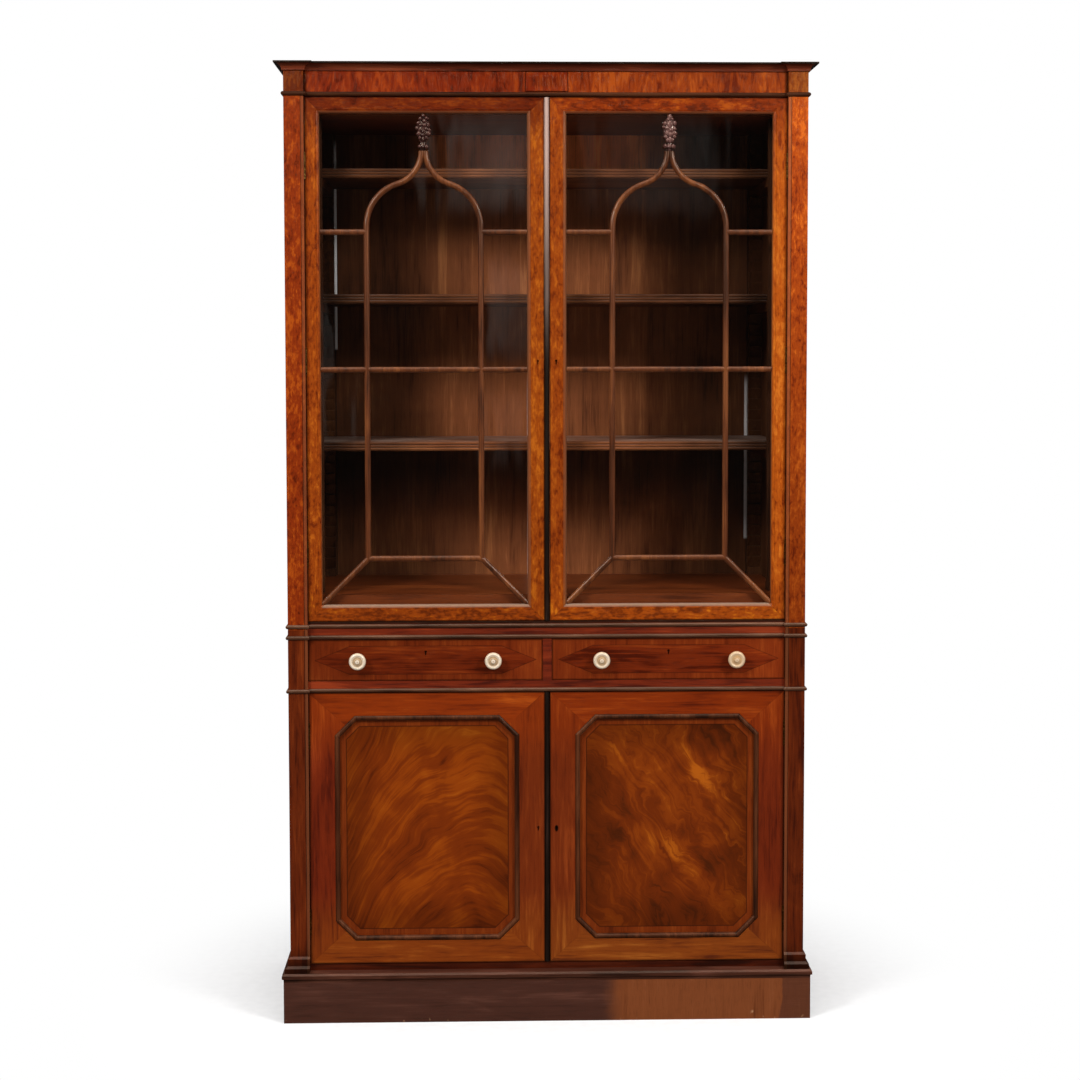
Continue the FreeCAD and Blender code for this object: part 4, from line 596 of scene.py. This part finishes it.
clothe(back_board_wood(), "upper_back_boards", "base_back_boards")
clothe(finish_inside("inside_upright_wood", "z", 33, 0.8), "upper_side_linings", "shelf_racks")
clothe(finish_inside("inside_level_wood", "x", 37, 0.88), "cupboard_shelf", "drawer_guides")
clothe(shelf_wood(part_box("bookshelves")), "bookshelves")
clothe(finish_inside("inside_deep_wood", "y", 41),
       "shelf_cleats", "shelf_bearers", "left_drawer_box", "right_drawer_box")


# Mouldings

# Each plain one: its wood's name, grain, wood, where its figure starts, finish, pieces
PLAIN_MOULDINGS = (
    ("frieze_bead_wood", "x", tinted(SHADED, 0.62), 18, (0.46, 0.0, 0.15), "frieze_bead"),
    ("bead_wood", "x", DUSKY, 18, (0.36, 0.15, 0.4), "waist_beads", "drawer_rail_bead"),
    ("plinth_cap_wood", "x", tinted(PLUM, 0.7, 0.6, 0.55), 20, (0.42, 0.06, 0.28), "plinth_moulding"),
    ("panel_moulding_wood", "z", SHADED, 19, (0.42, 0.04, 0.2),
     "lower_left_panel_moulding", "lower_right_panel_moulding"),
    ("bar_wood", "z", BAR, 23, (0.38, 0.12, 0.4), "upper_left_glazing_bars", "upper_right_glazing_bars"),
)
LIP = (CROWN_Z - 0.0052, CROWN_Z - 0.0044)          # where the cornice's lip starts
LIP_TOP = (CROWN_Z - 0.0004, CROWN_Z - 0.0001)
# A painted grey reflection on the upper meeting bead
PAINTED_REFLECTION = srgb(206, 174, 160)


def cornice_wood():
    """Dark, and nearly black on the lip."""
    s = Surface("cornice_wood", 0.38, 0.06, 0.3)
    colour, height = timber(s, "x", tinted(DEEP, 1.15, 0.9, 0.7), STREAKED, 17, 0.12)
    on_lip = s.product(s.fit(s.z, *LIP), s.fit(s.z, *LIP_TOP, 1.0, 0.5))
    return s.finish(s.blend(on_lip, colour, LIP_BLACK), height)


def meeting_bead_wood(name, reflection_from, reflection_to):
    """Near black, with a painted grey reflection towards the top."""
    s = Surface(name, 0.4, 0.1, 0.3)
    colour, height = timber(s, "z", BLACKENED, QUIET, 43)
    reach = s.total(s.z, (s.noise((1, 1, 0.1), 40), 0.3))
    return s.finish(s.blend(s.fit(reach, reflection_from, reflection_to, 0.0, 0.8), colour, PAINTED_REFLECTION), height)


clothe(cornice_wood(), "cornice")
clothe(meeting_bead_wood("upper_bead_wood", 1.75, 2.4), "upper_meeting_bead")
clothe(meeting_bead_wood("lower_bead_wood", 3.0, 3.4), "lower_meeting_bead")
for name, grain, field, shift, finish, *pieces in PLAIN_MOULDINGS:
    clothe(plain_wood(name, grain, field, QUIET, shift, finish), *pieces)


# Finials: a carved bud over each arch, flat against the glass

# Lobes of each bud from its tip down: place across and up, then width and height. What lies across is a
# share of the bud's half width, and what lies upright a share of its height.
LEFT_LOBES = (
    (0.0, 0.95, 0.22, 0.045), (-0.32, 0.87, 0.25, 0.048), (0.44, 0.88, 0.25, 0.045),
    (0.14, 0.80, 0.28, 0.055), (-0.56, 0.75, 0.24, 0.05), (-0.27, 0.69, 0.25, 0.052),
    (0.18, 0.69, 0.25, 0.052), (0.62, 0.70, 0.23, 0.06), (-0.76, 0.62, 0.23, 0.052),
    (0.38, 0.59, 0.26, 0.052), (-0.32, 0.57, 0.26, 0.05), (0.76, 0.56, 0.22, 0.05),
    (0.02, 0.52, 0.24, 0.05), (-0.46, 0.46, 0.36, 0.062), (0.62, 0.465, 0.34, 0.062),
    (-0.02, 0.42, 0.24, 0.05), (0.0, 0.31, 0.22, 0.065), (-0.38, 0.345, 0.2, 0.05),
    (0.4, 0.345, 0.2, 0.05), (-0.42, 0.115, 0.2, 0.045), (-0.02, 0.10, 0.21, 0.045),
    (0.42, 0.105, 0.22, 0.055),
)
RIGHT_LOBES = (
    (0.0, 0.93, 0.26, 0.07), (-0.2, 0.87, 0.2, 0.04), (0.22, 0.87, 0.2, 0.04),
    (-0.62, 0.75, 0.26, 0.055), (0.58, 0.76, 0.27, 0.06), (-0.02, 0.73, 0.36, 0.10),
    (-0.74, 0.655, 0.25, 0.045), (-0.34, 0.63, 0.27, 0.05), (0.54, 0.61, 0.27, 0.055),
    (0.14, 0.57, 0.26, 0.05), (-0.4, 0.49, 0.26, 0.055), (0.52, 0.485, 0.36, 0.065),
    (0.04, 0.45, 0.27, 0.06), (-0.52, 0.39, 0.24, 0.055), (0.56, 0.39, 0.24, 0.055),
    (0.0, 0.31, 0.27, 0.08), (-0.3, 0.30, 0.2, 0.05), (0.32, 0.30, 0.2, 0.05),
    (-0.58, 0.135, 0.24, 0.055), (-0.06, 0.13, 0.28, 0.05), (0.42, 0.125, 0.28, 0.055),
)
# The turned core under the lobes: height and radius, in the same shares
CORE = (
    (0.0, 0.26), (0.05, 0.4), (0.15, 0.48), (0.19, 0.34), (0.22, 0.32), (0.28, 0.44),
    (0.42, 0.72), (0.6, 0.8), (0.75, 0.7), (0.88, 0.44), (0.96, 0.2), (0.99, 0.0),
)
CORE_SIDES = 24
CORE_FLATTENED = 0.8
LOBE_SEAT = 0.52                # where the lobes sit in front of the glass, as a share of the half width
LOBE_RISE = 0.3                 # how far a lobe stands out of the core, in the same share
LOBE_SPREAD = 1.12              # neighbouring lobes run into each other
BUD_MARGIN = 0.0004             # what the carving keeps clear of the solid's box
HOLLOW_SHADE = (0.002, 0.014)        # painted shade in the hollows: how far behind the foremost lobe it starts, and where it is darkest


def add_lobe(carving, origin, width, height, lobe):
    """A plump leaf: pointed at the top, with a groove down each side of its middle vein."""
    across, up, wide, tall = lobe
    seat = -width * LOBE_SEAT * math.sqrt(max(0.0, 1 - across * across))
    for vertex in bmesh.ops.create_icosphere(carving, subdivisions=3, radius=1.0)["verts"]:
        x, y, z = vertex.co
        pointed = 1 - 0.28 * max(0.0, z)
        vein = 1 - 0.16 * math.cos(3 * math.pi * x) * (1 - z * z)
        vertex.co = (
            origin[0] + width * (across + wide * LOBE_SPREAD * x * pointed),
            origin[1] + seat + width * LOBE_RISE * y * vein,
            origin[2] + height * (up + tall * LOBE_SPREAD * z),
        )


def add_core(carving, origin, width, height):
    rings = []
    for up, radius in CORE:
        reach = width * max(radius, 0.01)
        ring = []
        for side in range(CORE_SIDES):
            angle = 2 * math.pi * side / CORE_SIDES
            x = origin[0] + reach * math.cos(angle)
            y = origin[1] + reach * CORE_FLATTENED * math.sin(angle)
            ring.append(carving.verts.new((x, y, origin[2] + height * up)))
        rings.append(ring)
    for low, high in zip(rings, rings[1:]):
        for side in range(CORE_SIDES):
            after = (side + 1) % CORE_SIDES
            carving.faces.new((low[side], low[after], high[after], high[side]))
    carving.faces.new(rings[0][::-1])
    carving.faces.new(rings[-1])


def carved_surface(box):
    """Polished on the crowns of the carving, with painted shade in its hollows."""
    s = Surface("carved_wood", 0.26, 0.4, 0.6)
    colour, height = timber(s, "z", CARVED, QUIET, 29)
    depth = s.maths("SUBTRACT", s.y, box[0][1])
    return s.finish(s.shaded(colour, s.fit(depth, *HOLLOW_SHADE, 1.0, 0.5)), height)


def carve_bud(hand, lobes, material):
    node = f"upper_{hand}_finial"
    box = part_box(node)
    width = half(box, 0) - BUD_MARGIN
    height = box[1][2] - box[0][2] - BUD_MARGIN
    origin = (middle(box, 0), box[1][1], box[0][2])
    carving = bmesh.new()
    add_core(carving, origin, width, height)
    for lobe in lobes:
        add_lobe(carving, origin, width, height, lobe)
    everything = carving.verts[:] + carving.edges[:] + carving.faces[:]
    bmesh.ops.bisect_plane(carving, geom=everything, plane_co=origin, plane_no=(0, 1, 0), clear_outer=True)
    bmesh.ops.holes_fill(carving, edges=[edge for edge in carving.edges if edge.is_boundary], sides=0)
    for face in carving.faces:
        face.smooth = abs(face.normal.y) < 0.999
    for vertex in carving.verts:
        vertex.co.y = max(vertex.co.y, box[0][1] + BUD_MARGIN)
    mesh = bpy.data.meshes.new(f"{hand}_bud")
    carving.to_mesh(mesh)
    carving.free()
    mesh.materials.append(material)
    bud = bpy.data.objects.new(f"carved_{hand}_bud", mesh)
    bpy.context.scene.collection.objects.link(bud)
    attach(bud, f"upper_{hand}_door")
    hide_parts(node)


carved_wood = carved_surface(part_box("upper_left_finial"))
carve_bud("left", LEFT_LOBES, carved_wood)
carve_bud("right", RIGHT_LOBES, carved_wood)


# Drawer fronts: a long pointed hexagon of dark veneer in a crossband

DRAWER_BAND_WIDTH = 0.016
DRAWER_POINT = 0.085            # how long the hexagon's points are
DRAWER_LINE = (0.0004, 0.0014)  # half the width of the line between the veneers, and where it has faded out
GLOW_FROM = 0.3                 # from this far along its front a drawer grows brighter


def drawer_wood(name, box, brightness):
    """Both veneers grow a little brighter towards the drawer's right end."""
    s = Surface(name, *WELL_POLISHED)
    field, field_height = timber(s, "x", tinted(DRAWER_FIELD, brightness), STREAKED)
    band, band_height = timber(s, "z", tinted(DRAWER_BAND, brightness), STREAKED, 15, 0.12)
    from_side, from_end = from_edges(s, box)
    slope = (half(box, 2) - DRAWER_BAND_WIDTH) / DRAWER_POINT
    point_room = s.product(s.maths("SUBTRACT", from_side, DRAWER_BAND_WIDTH), slope)
    from_point = s.maths("SUBTRACT", point_room, s.maths("SUBTRACT", half(box, 2), from_end))
    inside = s.maths("MINIMUM", s.maths("SUBTRACT", from_end, DRAWER_BAND_WIDTH), from_point)
    in_field = s.fit(inside, -EDGE, EDGE)
    colour = s.blend(in_field, band, field)
    colour = s.shaded(colour, s.fit(s.x, box[0][0] + GLOW_FROM, box[1][0], 1.0, 1.25))
    colour = s.blend(s.fit(s.away(inside), *DRAWER_LINE, 0.6, 0.0), colour, DRAWER_DARK)
    # Painted shade, with dirt, along the drawer front's edges
    colour = edge_shade_and_dirt(s, colour, s.maths("MINIMUM", from_side, from_end), 0.005, 0.3)
    return s.finish(colour, s.blend(in_field, band_height, field_height))


for hand, brightness in (("left", 0.95), ("right", 1.12)):
    front = f"{hand}_drawer_front"
    clothe(drawer_wood(front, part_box(front), brightness), front)


# Panels: flame figure, framed by a crossband and a dark line

PANEL_HIDDEN = 0.008            # what the frame and its moulding cover of a panel's edge
PANEL_CANT = 0.049              # how far a canted corner cuts off both sides
PANEL_BAND_WIDTH = 0.028
PANEL_LINE = (0.0006, 0.0018)
PANEL_EDGE_SHADE = 0.11              # painted shade: over this distance the figure grows lighter from the band inwards


def panel_border(s, box, figure):
    """Lays the crossband and its dark line round the figure of a canted panel, darkening the figure towards
    the band with painted shade.
    """
    band, _ = timber(s, "z", PANEL_BAND, STREAKED, 15, 0.12)
    from_side, from_end = (s.maths("SUBTRACT", distance, PANEL_HIDDEN) for distance in from_edges(s, box))
    from_cant = s.maths("SUBTRACT", s.maths("ADD", from_side, from_end), PANEL_CANT)
    from_cant = s.product(from_cant, math.sqrt(0.5))
    from_rim = s.maths("MINIMUM", s.maths("MINIMUM", from_side, from_end), from_cant)
    inside = s.maths("SUBTRACT", from_rim, PANEL_BAND_WIDTH)
    figure = s.shaded(figure, s.fit(inside, 0.0, PANEL_EDGE_SHADE, 0.72, 1.06))
    colour = s.blend(s.fit(inside, -EDGE, EDGE), band, figure)
    return s.blend(s.fit(s.away(inside), *PANEL_LINE, 0.7, 0.0), colour, PANEL_DARK)


def warped(s, across, up):
    """Coordinates in which straight streaks follow the figure."""
    place = s.add("ShaderNodeCombineXYZ")
    s.feed(place.inputs[0], across)
    s.feed(place.inputs[2], up)
    return place.outputs[0]


def plume_wood(name, box):
    """A plume: streaks climb from the lower left and arch over towards the right."""
    s = Surface(name, *WELL_POLISHED)
    across = s.maths("SUBTRACT", s.x, middle(box, 0) + half(box, 0) * 0.45)
    bow = s.product(across, across, 3.6)
    sway = s.waver(0.12, EVENLY, 6, 2)
    place = warped(s, across, s.maths("ADD", s.maths("ADD", s.z, bow), sway))
    plume = s.noise((0.25, 1, 1), 22, 4, 0.55, 0.8, 2, place)
    wisps = s.noise((0.12, 1, 1), 90, 4, 0.6, 0.5, 6, place)
    clouds = s.noise((1, 1, 0.7), 8, 3, 0.5, 0.8, 11)
    fibres = s.noise((0.05, 1, 1), 380, 3, 0.6, 0.3, 4, place)
    glow = s.fit(s.total(across, (s.z, 0.45)), -0.05, 0.42, 0.0, 0.06)
    tone = s.total(glow, (plume, 0.36), (wisps, 0.22), (clouds, 0.30), (fibres, 0.12))
    figure = s.ramp(tone, (0.38, srgb(76, 23, 3)), (0.49, srgb(118, 44, 4)), (0.57, srgb(142, 60, 5)),
                    (0.70, srgb(172, 88, 14)))
    return s.finish(panel_border(s, box, figure), fibres, FINE_GRAIN)


# Bright flashes of the right panel: start and end, across and up in shares of the panel, width and strength
FLASHES = (
    ((0.52, 0.95), (0.72, 0.66), 0.034, 0.10), ((0.64, 0.80), (0.92, 0.40), 0.036, 0.12),
    ((0.28, 0.52), (0.60, 0.36), 0.036, 0.09), ((0.48, 0.50), (0.80, 0.12), 0.038, 0.12),
    ((0.78, 1.00), (1.00, 0.70), 0.040, 0.10), ((0.36, 0.70), (0.62, 0.50), 0.034, 0.07),
    ((0.42, 0.22), (0.66, 0.00), 0.034, 0.09), ((0.18, 0.86), (0.40, 0.74), 0.030, 0.06),
)


def in_panel(box, shares):
    """A place on a panel, across and up in metres, from its shares of the panel's width and height."""
    return [box[0][axis] + (box[1][axis] - box[0][axis]) * share for axis, share in zip((0, 2), shares)]


def flash_across(s, box, sway, wisps, start, end, width, strength):
    """One flash: brightest along its middle, torn by the wisps, and lost towards both ends."""
    (ax, az), (bx, bz) = in_panel(box, start), in_panel(box, end)
    length = math.hypot(bx - ax, bz - az)
    dx, dz = (bx - ax) / length, (bz - az) / length
    run = s.total(-(ax * dx + az * dz), (s.z, dz), (s.x, dx))
    off = s.maths("ADD", s.total(ax * dz - az * dx, (s.z, dx), (s.x, -dz)), sway)
    off = s.total(off, (s.maths("SUBTRACT", wisps, 0.5), width * 1.6))
    begins = s.fit(run, -length * 0.1, length * 0.3)
    ends = s.fit(run, length * 0.7, length * 1.1, 1.0, 0.0)
    return s.product(s.fit(s.away(off), 0.0, width, strength, 0.0), begins, ends)


def flash_wood(name, box):
    """Cloudy dark figure with a few bright flashes that run down to the right."""
    s = Surface(name, *WELL_POLISHED)
    sway = s.waver(0.22, EVENLY, 9, 3, 0.5, 0.6, 3)
    place = warped(s, s.x, s.maths("ADD", s.total(s.z, (s.x, 1.25)), sway))
    clouds = s.noise((1, 1, 0.7), 8, 4, 0.55, 1.0, 17)
    wisps = s.noise((0.2, 1, 1), 34, 4, 0.6, 0.8, 9, place)
    fibres = s.noise((0.05, 1, 1), 380, 3, 0.6, 0.3, 4, place)
    tone = s.total(0.0, (clouds, 0.45), (wisps, 0.4), (fibres, 0.15))
    torn = s.noise((0.3, 1, 1), 50, 3, 0.5, 0.3, 31, place)
    bend = s.waver(0.06, EVENLY, 14, 2, 0.5, 0.4, 35)
    for flash in FLASHES:
        tone = s.maths("ADD", tone, flash_across(s, box, bend, torn, *flash))
    figure = s.ramp(tone, (0.37, srgb(72, 27, 5)), (0.50, srgb(106, 39, 5)), (0.58, srgb(128, 52, 6)),
                    (0.72, srgb(172, 86, 14)))
    return s.finish(panel_border(s, box, figure), fibres, FINE_GRAIN)


clothe(plume_wood("left_flame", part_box("lower_left_panel")), "lower_left_panel")
clothe(flash_wood("right_flame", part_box("lower_right_panel")), "lower_right_panel")


# Plinth: dull purplish brown, with a lighter cross-grained patch at the right

# Where the patch, the chips at its foot and the rubbed lower edge begin or end
PATCH_LEFT, PATCH_RIGHT = (0.13, 0.19), (0.575, 0.581)
CHIPS_LEFT, CHIPS_RIGHT, CHIPS_Z = (0.5, 0.51), (0.56, 0.57), (0.018, 0.024)
RUBS_Z = (0.002, 0.012)
BARE_WOOD = srgb(184, 138, 100)


def plinth_wood():
    s = Surface("plinth_wood", 0.5, 0.0, 0.3)
    old, old_height = timber(s, "x", PLINTH, STREAKED, 0.0, 0.16)
    patch, patch_height = timber(s, "z", PLINTH_PATCH, STREAKED, 12, 0.22)
    ragged = s.maths("ADD", s.x, s.waver(0.03, EVENLY, 30))
    in_front = s.fit(s.y, FACE_Y, FACE_Y + 0.01, 1.0, 0.0)
    in_patch = s.product(s.fit(ragged, *PATCH_LEFT), s.fit(ragged, *PATCH_RIGHT, 1.0, 0.35), in_front)
    rubs = s.product(s.fit(s.noise(EVENLY, 90, 4), 0.68, 0.76), s.fit(s.z, *RUBS_Z, 1.0, 0.0))
    chips = s.fit(s.noise((1, 1, 0.6), 60, 4, 0.6, 0, 5), 0.58, 0.6)
    chips = s.product(chips, s.fit(s.x, *CHIPS_LEFT), s.fit(s.x, *CHIPS_RIGHT, 1.0, 0.0))
    chips = s.product(chips, s.fit(s.z, *CHIPS_Z, 1.0, 0.0))
    colour = s.blend(s.maths("MAXIMUM", rubs, chips), s.blend(in_patch, old, patch), BARE_WOOD)
    return s.finish(colour, s.blend(in_patch, old_height, patch_height), WORN_GRAIN)


clothe(plinth_wood(), "plinth_boards")


# Metal, bone and glass

def brass():
    """Old brass, dark with handling."""
    s = Surface("aged_brass", 0.4)
    s.set("Metallic", 1.0)
    tarnish = s.noise(EVENLY, 160, 4, 0.6)
    s.set("Roughness", s.fit(tarnish, 0.3, 0.7, 0.55, 0.3))
    colour = s.ramp(tarnish, (0.35, srgb(52, 34, 18)), (0.55, srgb(104, 74, 36)), (0.7, srgb(160, 124, 68)))
    return s.finish(colour, tarnish, METAL_RELIEF)


BONE_PALE, BONE_CREAMY, BONE_WORN = srgb(240, 226, 206), srgb(206, 178, 142), srgb(204, 162, 112)
# From the middle of a knob to its rim, in shares of its radius
BONE_RINGS = (
    (0.0, srgb(120, 84, 56)), (0.07, srgb(226, 206, 180)), (0.2, BONE_PALE), (0.28, srgb(150, 118, 86)),
    (0.36, BONE_CREAMY), (0.52, srgb(168, 136, 104)), (0.62, srgb(224, 204, 178)), (0.8, BONE_PALE),
    (1.0, srgb(206, 182, 152)),
)


def bone(name, box, worn_left, worn_right):
    """Two turned knobs: a pale rim, a darker ring where hands wear it, and a pale peg in the middle."""
    s = Surface(name, 0.3, 0.3, 0.5)
    s.set("Subsurface Weight", 0.1)
    s.set("Subsurface Radius", (0.004, 0.003, 0.002))
    radius = half(box, 2)
    out = s.away(s.away(s.x, middle(box, 0)), half(box, 0) - radius)
    up = s.maths("SUBTRACT", s.z, middle(box, 2))
    ring = s.maths("SQRT", s.maths("ADD", s.product(out, out), s.product(up, up)))
    veins = s.noise(EVENLY, 300, 4, 0.6, 0.6)
    ring = s.total(s.maths("DIVIDE", ring, radius), (s.maths("SUBTRACT", veins, 0.5), 0.12))
    colour = s.ramp(ring, *BONE_RINGS)
    colour = s.blend(s.product(s.fit(veins, 0.45, 0.7), 0.35), colour, BONE_CREAMY)
    colour = s.blend(s.step(s.x, middle(box, 0), worn_left, worn_right), colour, BONE_WORN)
    return s.finish(colour, veins, METAL_RELIEF)


SMEARS = 0.035                  # how much the dirtiest part of a pane mirrors besides its polish
GLASS_WAVES = 0.0009            # depth of the waves in the sheet


def glass():
    """Old wavy sheet glass, thin enough that it only reflects by its angle and lets the rest through."""
    s = Surface("old_glass", 0.03)
    s.set("Metallic", 1.0)
    s.set("Base Color", (0.88, 0.93, 0.95, 1.0))
    glance = s.add("ShaderNodeFresnel")
    glance.inputs["IOR"].default_value = 1.5
    outside = s.maths("SUBTRACT", 1.0, s.add("ShaderNodeNewGeometry").outputs["Backfacing"])
    smears = s.fit(s.noise((1, 1, 0.6), 5, 5, 0.6, 1.0), 0.45, 0.75, 0.0, SMEARS)
    s.set("Alpha", s.product(s.maths("ADD", glance.outputs[0], smears), outside))
    s.relief(s.noise((1, 1, 0.3), 9, 2, 0.5), GLASS_WAVES)
    return s.material


clothe(brass(), *[name for name in nodes if "hinge" in name or "lock" in name])
clothe(bone("left_bone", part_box("left_drawer_knobs"), 0.05, 0.05), "left_drawer_knobs")
clothe(bone("right_bone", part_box("right_drawer_knobs"), 0.2, 0.6), "right_drawer_knobs")
clothe(glass(), "upper_left_panes", "upper_right_panes")


# Studio

FLOOR_REACH = 5
FLOOR_FADE = (0.5, 1.2)         # how far from the middle the floor starts to turn white, and is white
KEY_TARGET = (0, 0, 1.2)
KEY_SIZE = 1.0
ROOM_LIGHT = 0.26
CEILING_LIGHT = 1.7
# How bright the room is that polish and glass mirror: low down and high up
MIRRORED_ROOM = (0.03, 0.9)
MIRRORED_HEIGHTS = (0.15, 0.9)
# Its lit places behind the camera: sideways from and to, height from and to, strength
LIT_PLACES = (
    (-0.03, 0.024, 0.075, 0.128, 0.6), (0.05, 0.12, 0.075, 0.125, 0.25),
    (-0.095, -0.082, -0.05, 0.03, 0.35), (0.0, 0.022, 0.0, 0.05, 0.4), (-0.004, 0.022, -0.06, -0.02, 0.25),
)
LIT_EDGE = (0.3, 0.6)           # where a lit place starts to fade and is gone, in shares of its size


def stage():
    """A pale floor that takes the object's shadow and fades into the white surroundings beyond it."""
    mesh = bpy.data.meshes.new("studio_floor")
    corners = [(x * FLOOR_REACH, y * FLOOR_REACH, 0) for x, y in ((-1, -1), (1, -1), (1, 1), (-1, 1))]
    mesh.from_pydata(corners, [], [(0, 1, 2, 3)])
    floor = bpy.data.objects.new("studio_floor", mesh)
    bpy.context.scene.collection.objects.link(floor)
    s = Surface("studio_floor_paint", 0.9, 0.0, 0.1)
    seen, mirrored = s.rays()
    pale = s.ramp(s.noise(EVENLY, 40, 3), (0.3, (0.86, 0.86, 0.86, 1)), (0.7, (0.9, 0.9, 0.9, 1)))
    unseen = s.blend(mirrored, (0.24, 0.23, 0.22, 1), (0.07, 0.06, 0.05, 1))
    s.set("Base Color", s.blend(seen, unseen, pale))
    distance = s.add("ShaderNodeVectorMath", operation="LENGTH")
    s.feed(distance.inputs[0], s.place)
    glow = s.add("ShaderNodeEmission")
    glow.inputs["Color"].default_value = WHITE
    faded = s.mixed(s.product(seen, s.fit(distance.outputs["Value"], *FLOOR_FADE)), s.shader, glow)
    s.feed(s.tree.nodes["Material Output"].inputs[0], faded.outputs[0])
    mesh.materials.append(s.material)


def key_light(name, place, power):
    data = bpy.data.lights.new(name, "AREA")
    data.shape = "RECTANGLE"
    data.size, data.size_y = KEY_SIZE, KEY_SIZE
    data.energy = power
    light = bpy.data.objects.new(name, data)
    light.location = place
    light.rotation_euler = (Vector(KEY_TARGET) - Vector(place)).to_track_quat("-Z", "Y").to_euler()
    bpy.context.scene.collection.objects.link(light)


def ceiling_light():
    """Light from above, as from a white ceiling; it keeps the floor white and the bays dark at the top."""
    data = bpy.data.lights.new("ceiling", "SUN")
    data.energy = CEILING_LIGHT
    data.angle = math.radians(50)
    light = bpy.data.objects.new("ceiling", data)
    light.rotation_euler = (math.radians(12), 0, 0)
    bpy.context.scene.collection.objects.link(light)


def world():
    """White to the camera, soft light for the object, and a darker, uneven room for polish and glass."""
    surroundings = bpy.data.worlds.new("studio")
    surroundings.use_nodes = True
    w = Tree(surroundings.node_tree)
    seen, glossy = w.rays()
    sideways, _, height = w.parts(w.add("ShaderNodeTexCoord").outputs["Generated"])
    room = w.fit(height, *MIRRORED_HEIGHTS, *MIRRORED_ROOM, smooth=False)
    for left, right, low, high, strength in LIT_PLACES:
        inside = []
        for way, near, far in ((sideways, left, right), (height, low, high)):
            edge = [(far - near) * share for share in LIT_EDGE]
            inside.append(w.fit(w.away(way, (near + far) / 2), *edge, 1.0, 0.0))
        room = w.total(room, (w.product(*inside), strength))
    soft = w.tree.nodes["Background"]
    white, mirrored = w.add("ShaderNodeBackground"), w.add("ShaderNodeBackground")
    lights = ((soft, WHITE, ROOM_LIGHT), (white, WHITE, 1.0), (mirrored, (0.84, 0.7, 0.62, 1), room))
    for background, colour, strength in lights:
        w.feed(background.inputs["Color"], colour)
        w.feed(background.inputs["Strength"], strength)
    around = w.mixed(seen, w.mixed(glossy, soft, mirrored), white)
    w.feed(w.tree.nodes["World Output"].inputs[0], around.outputs[0])
    bpy.context.scene.world = surroundings


stage()
world()
ceiling_light()
key_light("key_left", (-2.6, -3.0, 3.6), 110)
key_light("key_right", (2.9, -3.2, 3.4), 120)


# Camera, standing and looking as in the photo

CAMERA_PLACE = (-0.138, -4.815, 1.645)
TURNED, LOWERED, ROLLED = -1.503, 3.164, -0.074     # degrees

camera_data = bpy.data.cameras.new("camera")
camera_data.sensor_width = 36
camera_data.lens = 62.8
camera_data.shift_y = -0.075
camera = bpy.data.objects.new("camera", camera_data)
turn = Matrix.Rotation(math.radians(TURNED), 4, "Z")
tilt = Matrix.Rotation(math.radians(90 - LOWERED), 4, "X")
roll = Matrix.Rotation(math.radians(ROLLED), 4, "Z")
camera.matrix_world = Matrix.Translation(CAMERA_PLACE) @ turn @ tilt @ roll
bpy.context.scene.collection.objects.link(camera)
bpy.context.scene.camera = camera
bpy.context.scene.view_settings.view_transform = "Standard"
